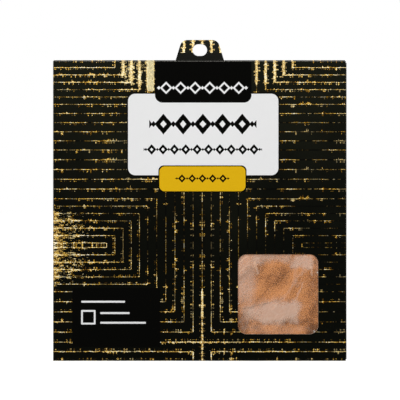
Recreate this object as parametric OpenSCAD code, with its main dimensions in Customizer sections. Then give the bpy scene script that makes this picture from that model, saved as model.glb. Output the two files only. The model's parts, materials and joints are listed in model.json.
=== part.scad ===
// Hang-sell envelope of folded card that holds a stack of metal leaf between tissue sheets.
// X points to the right, Y to the back and Z up. The origin is the centre of the hang hole.
// The envelope is one blank in use. Each panel between two creases is a solid of its own here.

/* [Leaf stack] */
// Side of a square metal leaf
leaf_side = 140; // [80:1:180]
// Thickness of a metal leaf
leaf_t = 0.02; // [0.01:0.01:0.05]
// Number of metal leaves in the pack
leaf_count = 5; // [3:1:12]
// Tissue left bare round the leaf, on each side
tissue_border = 2.5; // [0.5:0.5:10]
// Thickness of a tissue sheet
tissue_t = 0.03; // [0.02:0.01:0.1]
// Air between two neighbouring sheets
sheet_air = 0.035; // [0.02:0.005:0.1]
// Air between the front panel and the first tissue
front_air = 0.15; // [0.1:0.05:1]
// Air between the last tissue and the glue flaps
back_air = 0.1; // [0.1:0.05:1]

/* [Card] */
// Thickness of the card
card_t = 0.35; // [0.2:0.05:0.6]
// Inner radius of a fixed fold
bend_in_r = 0.15; // [0.05:0.05:0.2]
// Clearance at a crease that turns
crease_gap = 0.05; // [0.03:0.01:0.1]
// Distance of a free card edge from the fold beside it
edge_inset = 0.3; // [0.1:0.1:1]

/* [Envelope] */
// Free width beside the tissue, on each side
side_play = 4.65; // [2:0.05:12]
// Free height over the tissue when the stack is down
head_room = 12.85; // [8:0.05:30]
// Gap between the bottom wall and the tissue
seat_gap = 0.15; // [0.1:0.05:1]
// Length cut off each end of the right wall
corner_cut = 1; // [0.5:0.1:3]

/* [Window] */
// Width of the window
window_w = 42.2; // [20:0.1:50]
// Height of the window
window_h = 42; // [20:0.1:50]
// Corner radius of the window
window_r = 4.5; // [1:0.5:8]
// Distance of the window from the right edge
window_right = 15.1; // [8:0.1:25]
// Distance of the window from the bottom edge
window_bottom = 14.2; // [8:0.1:25]

/* [Hang tab] */
// Width of the tab at its crease
tab_w = 25.6; // [22:0.1:40]
// Height of the tab from its crease
tab_h = 11; // [10:0.1:16]
// Angle by which each side of the tab leans in
tab_slope = 16.7; // [5:0.1:20]
// Radius of the tab's top corners
tab_r = 4; // [1:0.5:4.5]
// Angle by which the tab leans back at rest
tab_lean = 5; // [0:1:15]
// Width of the hang hole
hole_w = 7.7; // [7:0.1:10]
// Height of the hang hole
hole_h = 6.3; // [4.5:0.1:6.5]
// Distance of the hole's centre from the tab's top edge
hole_drop = 5.4; // [4.5:0.1:6]

/* [Closure flap] */
// Length of the flap from its crease
flap_len = 30; // [18:1:60]
// Angle by which each end of the flap leans in
flap_slope = 8; // [2:1:20]
// Radius of the flap's lower corners
flap_r = 6; // [2:1:12]
// Clearance round the hang tab where it is cut from the flap
kerf = 0.2; // [0.1:0.05:0.5]
// Air between the flap and the back panel
flap_air = 0.1; // [0.1:0.01:0.3]
// Diameter of a tack dot that holds the flap shut
dot_d = 8; // [4:1:12]
// Thickness of a tack dot
dot_t = 0.08; // [0.04:0.01:0.09]
// Distance of a tack dot's centre from the middle of the flap
dot_out = 50; // [20:1:60]
// Distance of a tack dot's centre from the flap's lower edge
dot_up = 8; // [6.5:0.5:12]

/* [Glue flaps] */
// Width of a glue flap
glue_flap_w = 12; // [8:1:25]
// Width of a line of glue
glue_w = 8; // [3:1:8]
// Thickness of a line of glue
glue_t = 0.06; // [0.04:0.01:0.15]
// Length left without glue before each slanted flap end
glue_stop = 2; // [1:1:10]

/* [Hidden] */
$fn = 96;
tissue_count = leaf_count + 1;
tissue_side = leaf_side + 2 * tissue_border;
// One tissue, one leaf and the air behind each
pair_t = tissue_t + leaf_t + 2 * sheet_air;
stack_t = leaf_count * pair_t + tissue_t;
bend_r = bend_in_r + card_t;
envelope_w = tissue_side + 2 * side_play + 2 * card_t;
envelope_h = tissue_side + seat_gap + head_room + 2 * card_t;

// The crease of the front panel's top edge, measured from the hang hole
hole_up = tab_h - hole_drop;
crease_y = -hole_up * sin(tab_lean);
crease_z = -hole_up * cos(tab_lean);

// Heights, and the front face of each layer from the front to the back
top_z = crease_z + card_t / 2;
bottom_z = top_z - envelope_h;
shell_top = top_z - card_t - crease_gap;
stack_z = bottom_z + card_t + seat_gap;
front_y = crease_y - card_t / 2;
stack_y = front_y + card_t + front_air;
glue_flap_y = stack_y + stack_t + back_air;
glue_y = glue_flap_y + card_t;
back_y = glue_y + glue_t;
flap_y = back_y + card_t + flap_air;

// The flap's own crease, and the card between the two creases
flap_crease_y = flap_y + card_t / 2;
fold_len = flap_crease_y - crease_y;
fold_edge = flap_crease_y - card_t / 2 - crease_gap;

// Flat part of the panels between their folds
panel_half = envelope_w / 2 - bend_r;
panel_bottom = bottom_z + bend_r;
right_wall_bottom = bottom_z + corner_cut;
right_wall_top = shell_top - corner_cut;
flap_w = envelope_w - 2 * corner_cut;

black = "#1c1d17";
gold = "#d2aa46";
board = "#e9e7e0";
leaf_metal = "#b9824f";
tissue = "#e3d6c6";
glue = "#d8cfa8";

// A flat piece in the plane of the panels, from its outline in X and Z
module panel(y, t) {
    translate([0, y + t, 0])
        rotate([90, 0, 0])
            linear_extrude(height = t)
                children();
}

module rectangle(x0, z0, x1, z1) {
    translate([x0, z0])
        square([x1 - x0, z1 - z0]);
}

module rounded_rectangle(w, h, r) {
    translate([r, 0])
        square([w - 2 * r, h]);
    translate([0, r])
        square([w, h - 2 * r]);
    for (x = [r, w - r], z = [r, h - r])
        translate([x, z])
            circle(r = r);
}

module long_hole(w, h) {
    for (side = [-1, 1])
        translate([side * (w - h) / 2, 0])
            circle(d = h);
    square([w - h, h], center = true);
}

// A flap that narrows from its crease at 0 and has round corners, grown on every side
module tapered_flap(w, h, slope, r, grow = 0, skirt = 0) {
    half = w / 2 + grow / cos(slope);
    high = h + grow;
    round_r = r + grow;
    centre_z = high - round_r;
    centre_x = (half * cos(slope) - round_r - centre_z * sin(slope)) / cos(slope);
    side_x = centre_x + round_r * cos(slope);
    side_z = centre_z + round_r * sin(slope);
    polygon([
        [-half, -skirt], [half, -skirt], [half, 0], [side_x, side_z],
        [centre_x, high], [-centre_x, high], [-side_x, side_z], [-half, 0]
    ]);
    for (side = [-1, 1])
        translate([side * centre_x, centre_z])
            circle(r = round_r);
}

module tab_outline(grow = 0, skirt = 0) {
    tapered_flap(tab_w, tab_h, tab_slope, tab_r, grow, skirt);
}

// The round edge of a piece that turns in a crease
module crease_bead(x0, x1, y) {
    translate([x0, y, crease_z])
        rotate([0, 90, 0])
            cylinder(d = card_t, h = x1 - x0);
}

module quarter_ring() {
    intersection() {
        difference() {
            circle(r = bend_r);
            circle(r = bend_in_r);
        }
        square(bend_r);
    }
}

// A narrow wall with a fold along both edges. It runs along Z, and its outside faces -X.
module folded_wall(depth, run) {
    rotate([0, 0, 90])
        linear_extrude(height = run, center = true) {
            translate([bend_r, -card_t])
                square([depth - 2 * bend_r, card_t]);
            translate([depth - bend_r, -bend_r])
                quarter_ring();
            translate([bend_r, -bend_r])
                mirror([1, 0])
                    quarter_ring();
        }
}

module front_panel() {
    color(black)
        panel(front_y, card_t)
            difference() {
                rectangle(-panel_half, panel_bottom, panel_half, shell_top);
                translate([
                    envelope_w / 2 - window_right - window_w,
                    bottom_z + window_bottom
                ])
                    rounded_rectangle(window_w, window_h, window_r);
            }
}

module hang_tab() {
    color(gold)
        translate([0, crease_y, crease_z])
            rotate([-tab_lean, 0, 0])
                difference() {
                    union() {
                        rotate([90, 0, 0])
                            linear_extrude(height = card_t, center = true)
                                tab_outline();
                        rotate([0, 90, 0])
                            cylinder(d = card_t, h = tab_w, center = true);
                    }
                    translate([0, 0, hole_up])
                        rotate([90, 0, 0])
                            linear_extrude(height = 3 * card_t, center = true)
                                long_hole(hole_w, hole_h);
                }
}

module left_spine() {
    color(black)
        translate([-envelope_w / 2, front_y, (bottom_z + shell_top) / 2])
            folded_wall(back_y + card_t - front_y, shell_top - bottom_z);
}

module right_wall() {
    color(black)
        translate([envelope_w / 2, front_y, (right_wall_bottom + right_wall_top) / 2])
            mirror([1, 0, 0])
                folded_wall(glue_y - front_y, right_wall_top - right_wall_bottom);
}

module bottom_wall() {
    color(black)
        translate([0, front_y, bottom_z])
            rotate([0, -90, 0])
                folded_wall(glue_y - front_y, 2 * panel_half);
}

module back_panel() {
    color(black)
        panel(back_y, card_t)
            rectangle(
                -panel_half, bottom_z + edge_inset,
                envelope_w / 2 - edge_inset, shell_top - crease_gap
            );
}

// The ends of both glue flaps are cut at 45 degrees, so that they meet in a mitre.
module side_glue_flap() {
    color(board)
        panel(glue_flap_y, card_t)
            polygon([
                [panel_half, right_wall_bottom],
                [panel_half, right_wall_top],
                [panel_half - glue_flap_w, right_wall_top - glue_flap_w],
                [panel_half - glue_flap_w, right_wall_bottom + glue_flap_w]
            ]);
}

module bottom_glue_flap() {
    half = panel_half - corner_cut;
    color(board)
        panel(glue_flap_y, card_t)
            polygon([
                [-half, panel_bottom],
                [half, panel_bottom],
                [half - glue_flap_w, panel_bottom + glue_flap_w],
                [-half + glue_flap_w, panel_bottom + glue_flap_w]
            ]);
}

module side_glue_line() {
    middle = panel_half - glue_flap_w / 2;
    color(glue)
        panel(glue_y, glue_t)
            rectangle(
                middle - glue_w / 2, right_wall_bottom + glue_flap_w + glue_stop,
                middle + glue_w / 2, right_wall_top - glue_flap_w - glue_stop
            );
}

module bottom_glue_line() {
    half = panel_half - corner_cut - glue_flap_w - glue_stop;
    middle = panel_bottom + glue_flap_w / 2;
    color(glue)
        panel(glue_y, glue_t)
            rectangle(-half, middle - glue_w / 2, half, middle + glue_w / 2);
}

// The card between the two top creases. The hang tab is cut out of its middle.
module top_fold() {
    left = -envelope_w / 2 + edge_inset;
    right = envelope_w / 2 - corner_cut;
    difference() {
        union() {
            translate([left, crease_y, top_z - card_t])
                cube([right - left, fold_edge - crease_y, card_t]);
            crease_bead(left, right, crease_y);
        }
        translate([0, crease_y, top_z - 2 * card_t])
            linear_extrude(height = 3 * card_t)
                tab_outline(kerf, card_t);
    }
}

module top_fold_side(side) {
    color(gold)
        intersection() {
            top_fold();
            translate([side * envelope_w / 2, flap_crease_y, top_z])
                cube([envelope_w, 2 * fold_len + 2 * card_t, 3 * card_t], center = true);
        }
}

module closure_flap() {
    color(black)
        difference() {
            union() {
                panel(flap_y, card_t)
                    translate([0, crease_z])
                        mirror([0, 1])
                            tapered_flap(flap_w, flap_len, flap_slope, flap_r);
                crease_bead(-flap_w / 2, flap_w / 2, flap_crease_y);
            }
            panel(flap_y - card_t, 3 * card_t)
                translate([0, crease_z + fold_len])
                    mirror([0, 1])
                        tab_outline(kerf);
        }
}

module flap_tack_dots() {
    color(glue)
        panel(flap_y - dot_t, dot_t)
            for (side = [-1, 1])
                translate([side * dot_out, crease_z - flap_len + dot_up])
                    circle(d = dot_d);
}

module square_sheet(side, y, z, t) {
    panel(y, t)
        rectangle(-side / 2, z, side / 2, z + side);
}

module tissue_sheet(i) {
    color(tissue)
        square_sheet(tissue_side, stack_y + (i - 1) * pair_t, stack_z, tissue_t);
}

module metal_leaf(i) {
    y = stack_y + (i - 1) * pair_t + tissue_t + sheet_air;
    color(leaf_metal)
        square_sheet(leaf_side, y, stack_z + tissue_border, leaf_t);
}

front_panel();
hang_tab();
left_spine();
right_wall();
bottom_wall();
back_panel();
side_glue_flap();
bottom_glue_flap();
side_glue_line();
bottom_glue_line();
top_fold_side(-1);  // top_fold_left
top_fold_side(1);  // top_fold_right
closure_flap();
flap_tack_dots();
for (i = [1:leaf_count])
    metal_leaf(i);
for (i = [1:tissue_count])
    tissue_sheet(i);
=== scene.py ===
"""Looks of a hang-sell pack of metal leaf, a folded card envelope with a window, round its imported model."""

import json
import logging
import math
from dataclasses import dataclass, field
from enum import Enum
from typing import Callable, Iterable, Optional, Sequence, Union

import bmesh
import bpy
import numpy as np
from bpy.types import ID, Material, Mesh, Node, NodeSocket, NodeTree, Object
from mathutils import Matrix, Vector
from mathutils.geometry import delaunay_2d_cdt


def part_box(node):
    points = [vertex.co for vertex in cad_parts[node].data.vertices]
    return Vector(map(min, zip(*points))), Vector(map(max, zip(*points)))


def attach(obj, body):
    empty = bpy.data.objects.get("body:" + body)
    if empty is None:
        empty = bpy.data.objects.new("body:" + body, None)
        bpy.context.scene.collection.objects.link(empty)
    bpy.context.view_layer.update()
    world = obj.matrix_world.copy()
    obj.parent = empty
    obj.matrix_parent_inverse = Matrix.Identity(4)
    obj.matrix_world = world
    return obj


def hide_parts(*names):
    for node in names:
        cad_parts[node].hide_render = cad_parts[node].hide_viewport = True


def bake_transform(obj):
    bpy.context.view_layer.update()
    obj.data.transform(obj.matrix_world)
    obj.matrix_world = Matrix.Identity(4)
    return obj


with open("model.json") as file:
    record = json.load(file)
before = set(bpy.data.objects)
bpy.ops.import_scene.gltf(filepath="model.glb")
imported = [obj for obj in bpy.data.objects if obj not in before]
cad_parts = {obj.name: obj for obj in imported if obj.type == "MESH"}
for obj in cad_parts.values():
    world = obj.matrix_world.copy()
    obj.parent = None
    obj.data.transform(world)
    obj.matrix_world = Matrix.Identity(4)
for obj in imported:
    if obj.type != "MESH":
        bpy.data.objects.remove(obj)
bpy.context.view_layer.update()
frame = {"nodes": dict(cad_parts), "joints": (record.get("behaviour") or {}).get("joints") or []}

LOG = logging.getLogger("leaf_pack")
MM = 0.001

# Names of the attributes that the materials and the trees read
PRINT_PLACE = "print_place"
LIFT = "lift"
RIDGE = "ridge"
FACING = "facing"

# Millimetres on the card beside a crease: half of the strip that bends, the first row of points
# after it, and how far the card is worn and given a painted fold highlight
CREASE_HALF = 0.225
FIRST_ROW = 0.6
RUB_AND_SHEEN = 0.9

# Edges shorter than this are not made, and inner points keep a larger distance from every edge
SHORTEST_EDGE = 0.03
EDGE_MARGIN = 0.08
WELD = 1e-5
NEAR_ZERO = 1e-12

# Cosine above which a face counts as square to a direction, and the length that counts as none
SQUARE_ON = 0.999
TOUCHING = 1e-6

Point = tuple[float, float]
Colour = tuple[float, float, float, float]


def ink(code: str) -> Colour:
    """Turns a colour code into the light values that Blender works with.

    Args:
        code: Six hexadecimal digits of an sRGB colour.

    Returns:
        Red, green, blue and a full alpha, as linear values.
    """
    shares = (int(code[i:i + 2], 16) / 255 for i in (0, 2, 4))
    linear = [s / 12.92 if s <= 0.04045 else ((s + 0.055) / 1.055) ** 2.4 for s in shares]
    return (*linear, 1.0)


class Term:
    """A number inside a node tree, which takes part in arithmetic as a plain number does."""

    def __init__(self, tree: NodeTree, socket: NodeSocket) -> None:
        """Wraps one output socket of a tree."""
        self.tree = tree
        self.socket = socket

    def math(self, operation: str, *others: "Number") -> "Term":
        """Adds one Math node.

        Args:
            operation: The node's operation.
            others: What goes into its other inputs.

        Returns:
            The node's result.
        """
        node = self.tree.nodes.new("ShaderNodeMath")
        node.operation = operation
        for socket, value in zip(node.inputs, (self, *others)):
            join(self.tree, value, socket)
        return Term(self.tree, node.outputs[0])

    def __add__(self, other: "Number") -> "Term":
        """Sum."""
        return self.math("ADD", other)

    def __mul__(self, other: "Number") -> "Term":
        """Product."""
        return self.math("MULTIPLY", other)

    # A plain number in front gives the same sum and product.
    __radd__ = __add__
    __rmul__ = __mul__

    def __sub__(self, other: "Number") -> "Term":
        """Difference."""
        return self.math("SUBTRACT", other)

    def __rsub__(self, other: float) -> "Term":
        """Difference from a plain number."""
        return self.math("MULTIPLY", -1.0).math("ADD", other)

    def __truediv__(self, other: "Number") -> "Term":
        """Quotient."""
        return self.math("DIVIDE", other)

    def __abs__(self) -> "Term":
        """Size without its sign."""
        return self.math("ABSOLUTE")

    def least(self, other: "Number") -> "Term":
        """The smaller of two."""
        return self.math("MINIMUM", other)

    def most(self, other: "Number") -> "Term":
        """The larger of two."""
        return self.math("MAXIMUM", other)

    def rise(self, low: float, high: float) -> "Term":
        """Climbs smoothly from 0 at low to 1 at high.

        Args:
            low: Where the climb starts.
            high: Where it ends.

        Returns:
            A share from 0 to 1.
        """
        node = self.tree.nodes.new("ShaderNodeMapRange")
        node.interpolation_type = "SMOOTHSTEP"
        join(self.tree, self, node.inputs["Value"])
        node.inputs["From Min"].default_value = low
        node.inputs["From Max"].default_value = high
        return Term(self.tree, node.outputs["Result"])

    def swap(self, from_value: "Number", to_value: "Number") -> "Term":
        """Goes from one value, where this is 0, to another, where this is 1."""
        return self * (Term.lift(self.tree, to_value) - from_value) + from_value

    @staticmethod
    def lift(tree: NodeTree, value: "Number") -> "Term":
        """Makes a plain number a term, and leaves a term as it is.

        Args:
            tree: The node tree.
            value: The number or term.

        Returns:
            The term.
        """
        if isinstance(value, Term):
            return value
        node = tree.nodes.new("ShaderNodeMath")
        node.inputs[0].default_value = value
        node.inputs[1].default_value = 0.0
        return Term(tree, node.outputs[0])


Number = Union[float, Term]


def join(tree: NodeTree, value: Union[Number, Sequence[float], NodeSocket],
         socket: NodeSocket) -> None:
    """Links a term or socket to an input, or sets the input to a plain value.

    Args:
        tree: The node tree.
        value: What goes in.
        socket: The input.
    """
    if isinstance(value, Term):
        tree.links.new(value.socket, socket)
    elif isinstance(value, NodeSocket):
        tree.links.new(value, socket)
    else:
        socket.default_value = value


def point_of(tree: NodeTree, x: Number, y: Number, z: Number) -> NodeSocket:
    """Puts three numbers together as one vector.

    Args:
        tree: The node tree.
        x: First number.
        y: Second number.
        z: Third number.

    Returns:
        The vector.
    """
    node = tree.nodes.new("ShaderNodeCombineXYZ")
    for socket, value in zip(node.inputs, (x, y, z)):
        join(tree, value, socket)
    return node.outputs[0]


def parts_of(tree: NodeTree, vector: NodeSocket) -> list[Term]:
    """Takes a vector apart into its three numbers.

    Args:
        tree: The node tree.
        vector: The vector.

    Returns:
        The three numbers.
    """
    node = tree.nodes.new("ShaderNodeSeparateXYZ")
    tree.links.new(vector, node.inputs[0])
    return [Term(tree, socket) for socket in node.outputs]


def noise(tree: NodeTree, x: Number, y: Number, z: Number, detail: float = 2.0,
          roughness: float = 0.5) -> Term:
    """Even noise about 0.5, with one bump to each unit of its coordinates.

    Args:
        tree: The node tree.
        x: First coordinate, in bumps.
        y: Second coordinate.
        z: Third coordinate.
        detail: Finer layers.
        roughness: How much the finer layers count.

    Returns:
        The noise, from 0 to 1.
    """
    node = tree.nodes.new("ShaderNodeTexNoise")
    join(tree, point_of(tree, x, y, z), node.inputs["Vector"])
    node.inputs["Scale"].default_value = 1.0
    node.inputs["Detail"].default_value = detail
    node.inputs["Roughness"].default_value = roughness
    return Term(tree, node.outputs[0])


def mix_colour(tree: NodeTree, share: Number, low: Union[Colour, NodeSocket],
               high: Union[Colour, NodeSocket]) -> NodeSocket:
    """Blends two colours.

    Args:
        tree: The node tree.
        share: 0 for the first colour and 1 for the second.
        low: The first colour.
        high: The second colour.

    Returns:
        The blended colour.
    """
    node = tree.nodes.new("ShaderNodeMix")
    node.data_type = "RGBA"
    join(tree, share, node.inputs[0])
    join(tree, low, node.inputs[6])
    join(tree, high, node.inputs[7])
    return node.outputs[2]


def turned(x: Term, z: Term, degrees: float) -> tuple[Term, Term]:
    """Measures a place along and across a slanting direction."""
    cos, sin = math.cos(math.radians(degrees)), math.sin(math.radians(degrees))
    return x * cos + z * sin, z * cos - x * sin


def attribute(tree: NodeTree, name: str) -> Term:
    """Reads a number that is stored on the mesh.

    Args:
        tree: The node tree.
        name: Name of the attribute.

    Returns:
        The number at each place.
    """
    node = tree.nodes.new("ShaderNodeAttribute")
    node.attribute_name = name
    return Term(tree, node.outputs["Fac"])


def seen_ray(tree: NodeTree) -> Term:
    """1 on the rays of the camera, of metal and of clear pieces, and 0 on the others.

    Args:
        tree: The node tree.

    Returns:
        The number for each ray.
    """
    path = tree.nodes.new("ShaderNodeLightPath")
    camera, glossy, clear = (Term(tree, path.outputs[f"Is {kind} Ray"])
                             for kind in ("Camera", "Glossy", "Transmission"))
    return camera.most(glossy).most(clear)


class Drawing:
    """A flat drawing on a sheet, in millimetres, from which shader nodes are made."""

    def __init__(self, name: str) -> None:
        """Starts a new material with its shader.

        Args:
            name: Name of the material.
        """
        self.material = bpy.data.materials.new(name)
        self.material.use_nodes = True
        self.tree = self.material.node_tree
        self.shader = self.tree.nodes["Principled BSDF"]
        self.x: Term
        self.z: Term
        self.wear_and_sheen: Term

    def on_print_place(self) -> "Drawing":
        """Draws in the places of the artwork that are stored on the card, with how worn it is and its painted
        fold highlight.

        Returns:
            The drawing itself.
        """
        node = self.tree.nodes.new("ShaderNodeAttribute")
        node.attribute_name = PRINT_PLACE
        self.x, self.z, self.wear_and_sheen = parts_of(self.tree, node.outputs["Vector"])
        return self

    def on_object(self) -> "Drawing":
        """Draws on the object's own coordinates.

        Returns:
            The drawing itself.
        """
        node = self.tree.nodes.new("ShaderNodeTexCoord")
        x, _, z = parts_of(self.tree, node.outputs["Object"])
        self.x, self.z = x / MM, z / MM
        return self

    def noise(self, scale: float, seed: float = 0.0, detail: float = 2.0) -> Term:
        """Noise over the drawing.

        Args:
            scale: Bumps to a millimetre.
            seed: Another number gives another pattern.
            detail: Finer layers.

        Returns:
            The noise.
        """
        return noise(self.tree, self.x * scale, self.z * scale, seed, detail)

    def box(self, shape: "Block", grow: float = 0.0) -> Term:
        """Distance from the outline of a block, negative inside it."""
        return shape.distance(self.x, self.z, grow)

    def cover(self, distance: Term, blur: float = 0.05) -> Term:
        """Turns a distance from an outline into 1 inside it and 0 outside, with a soft edge."""
        return (-1.0 * distance).rise(-blur, blur)

    def chain(self, row: "OrnamentRow") -> Term:
        """Distance from the outline of a row of large and small lozenges, negative inside them.

        Args:
            row: The row.

        Returns:
            The distance in millimetres.
        """
        brush = (self.noise(0.5, row.z, 2.0) - 0.5) * row.brush
        pitch = row.w / row.count
        along = (self.x - (row.x - row.w / 2)).math("PINGPONG", pitch / 2)
        up = abs(self.z - row.z)
        flat = row.lozenge_w * row.h / (2 * math.hypot(row.lozenge_w, row.h))
        large = ((pitch / 2 - along) * (2 / row.lozenge_w) + up * (2 / row.h) - 1.0) * flat
        ring = large.most(-1.0 * large - row.line)
        small = (along * (2 / row.lozenge_w) + up * (2 / row.h) - row.small) * flat
        inside = abs(self.x - row.x) - row.w / 2 - row.line
        return (ring.least(small) + brush).most(inside)

    def finish(self, colour: Union[Colour, NodeSocket], roughness: Number,
               metallic: Number = 0.0, height: Optional[Term] = None, depth: float = 0.02,
               specular: float = 0.5) -> Material:
        """Sets the shader.

        Args:
            colour: Base colour.
            roughness: Its roughness.
            metallic: Its share of metal.
            height: Relief from 0 to 1.
            depth: How deep the relief is, in millimetres.
            specular: Strength of the plain reflection.

        Returns:
            The finished material.
        """
        join(self.tree, colour, self.shader.inputs["Base Color"])
        join(self.tree, roughness, self.shader.inputs["Roughness"])
        join(self.tree, metallic, self.shader.inputs["Metallic"])
        self.shader.inputs["Specular IOR Level"].default_value = specular
        if height is not None:
            bump = self.tree.nodes.new("ShaderNodeBump")
            bump.inputs["Strength"].default_value = 1.0
            bump.inputs["Distance"].default_value = depth * MM
            join(self.tree, height, bump.inputs["Height"])
            join(self.tree, bump.outputs[0], self.shader.inputs["Normal"])
        return self.material


@dataclass(frozen=True)
class Block:
    """A block with round corners, in millimetres on the front."""

    x: float
    z: float
    w: float
    h: float
    r: float

    def distance(self, x: Term, z: Term, grow: float = 0.0) -> Term:
        """Distance of a place from the block's outline, negative inside it.

        Args:
            x: Place across.
            z: Height.
            grow: Amount by which the block is taken larger on every side.

        Returns:
            The distance in millimetres.
        """
        reach_x = abs(x - self.x) - (self.w / 2 + grow - self.r)
        reach_z = abs(z - self.z) - (self.h / 2 + grow - self.r)
        beyond_x, beyond_z = reach_x.most(0.0), reach_z.most(0.0)
        outside = (beyond_x * beyond_x + beyond_z * beyond_z).math("SQRT")
        return outside + reach_x.most(reach_z).least(0.0) - self.r


WINDOW = Block(41.3, -128.904, 42.2, 42.0, 4.5)


@dataclass(frozen=True)
class Patch:
    """A place with soft edges, in millimetres on the front, and how strong something is there."""

    x: float
    z: float
    half_w: float
    half_h: float
    soft: float = 5.0
    strength: float = 1.0
    turn: float = 0.0
    corner_share: float = 0.6

    def cover(self, x: Term, z: Term) -> Term:
        """How strongly the patch covers each place.

        Args:
            x: Place across.
            z: Height.

        Returns:
            The strength inside, fading to 0 over the soft edge.
        """
        across, up = x - self.x, z - self.z
        if self.turn:
            across, up = turned(across, up, self.turn)
        corner = min(self.half_w, self.half_h) * self.corner_share
        distance = Block(0.0, 0.0, 2 * self.half_w, 2 * self.half_h, corner).distance(across, up)
        return (-1.0 * distance).rise(-self.soft, self.soft) * self.strength


def patchwork(tree: NodeTree, x: Term, z: Term,
              patches: Iterable[Union[Patch, "FoldLine"]]) -> Term:
    """Lays patches or folds over each other, the strongest on top.

    Args:
        tree: The node tree.
        x: Place across.
        z: Height.
        patches: The patches or folds.

    Returns:
        The strength at each place.
    """
    total = Term.lift(tree, 0.0)
    for patch in patches:
        total = total.most(patch.cover(x, z))
    return total


@dataclass(frozen=True)
class FoldLine:
    """A soft straight fold from one place to another, in millimetres on the front."""

    x: float
    z: float
    to_x: float
    to_z: float
    width: float
    strength: float = 1.0

    def cover(self, x: Term, z: Term) -> Term:
        """How strongly the fold shows at each place.

        Args:
            x: Place across.
            z: Height.

        Returns:
            The strength on the line, fading to 0 at its width.
        """
        run_x, run_z = self.to_x - self.x, self.to_z - self.z
        share = ((x - self.x) * run_x + (z - self.z) * run_z) / (run_x ** 2 + run_z ** 2)
        share = share.most(0.0).least(1.0)
        gap_x = x - self.x - share * run_x
        gap_z = z - self.z - share * run_z
        away = (gap_x * gap_x + gap_z * gap_z).math("SQRT")
        return away.rise(self.width, 0.0) * self.strength


@dataclass(frozen=True)
class OrnamentRow:
    """A row of lozenges with small ones between them, in millimetres on the front."""

    x: float
    z: float
    w: float
    h: float
    count: int
    lozenge_w: float
    line: float
    brush: float
    small: float = 0.3


class Side(Enum):
    """Side of the pack that a print is for."""

    FRONT = "front"
    FLAP = "flap"
    BACK = "back"


@dataclass(frozen=True)
class PackSizes:
    """Sizes of the envelope in millimetres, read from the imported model."""

    card: float
    bend: float
    flat_half: float
    front: float
    side_depth: float
    spine_depth: float
    bottom: float
    flat_bottom: float
    shell_top: float
    top: float
    crease_y: float
    crease_z: float
    flap_crease_y: float
    back_right: float
    back_bottom: float
    back_top: float
    glue_flap_w: float
    wall_bottom: float
    wall_top: float
    fold_left: float
    fold_right: float
    flap_face: float

    @classmethod
    def from_frame(cls) -> "PackSizes":
        """Measures the nodes and reads the hinge lines.

        Returns:
            The sizes.
        """
        box = {name: [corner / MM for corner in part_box(name)] for name in frame["nodes"]}
        hinge = {j["name"]: j for j in frame["joints"]}
        fold_axis = hinge["top_fold_turn"]["pos_m"]
        flap_axis = hinge["flap_turn"]["pos_m"]
        front_low, front_high = box["front_panel"]
        spine_low, spine_high = box["left_spine"]
        wall_low, wall_high = box["right_wall"]
        back_low, back_high = box["back_panel"]
        return cls(
            card=front_high.y - front_low.y,
            bend=front_low.x - spine_low.x,
            flat_half=front_high.x,
            front=front_low.y,
            side_depth=wall_high.y - wall_low.y,
            spine_depth=spine_high.y - spine_low.y,
            bottom=spine_low.z,
            flat_bottom=front_low.z,
            shell_top=front_high.z,
            top=box["top_fold_left"][1].z,
            crease_y=fold_axis[1] / MM,
            crease_z=fold_axis[2] / MM,
            flap_crease_y=flap_axis[1] / MM,
            back_right=back_high.x,
            back_bottom=back_low.z,
            back_top=back_high.z,
            glue_flap_w=box["side_glue_flap"][1].x - box["side_glue_flap"][0].x,
            wall_bottom=wall_low.z,
            wall_top=wall_high.z,
            fold_left=box["top_fold_left"][0].x,
            fold_right=box["top_fold_right"][1].x,
            flap_face=box["closure_flap"][1].y,
        )


@dataclass(frozen=True)
class LineNoise:
    """Noise along the foil lines, which differs from ring to ring by a loose factor."""

    scale: float
    factor: float
    seed: float
    detail: float
    roughness: float = 0.5

    def over(self, tree: NodeTree, along: Term, number: Term) -> Term:
        """The noise at a place along the line of a ring."""
        return noise(tree, along * self.scale, number * self.factor, self.seed, self.detail, self.roughness)


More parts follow.
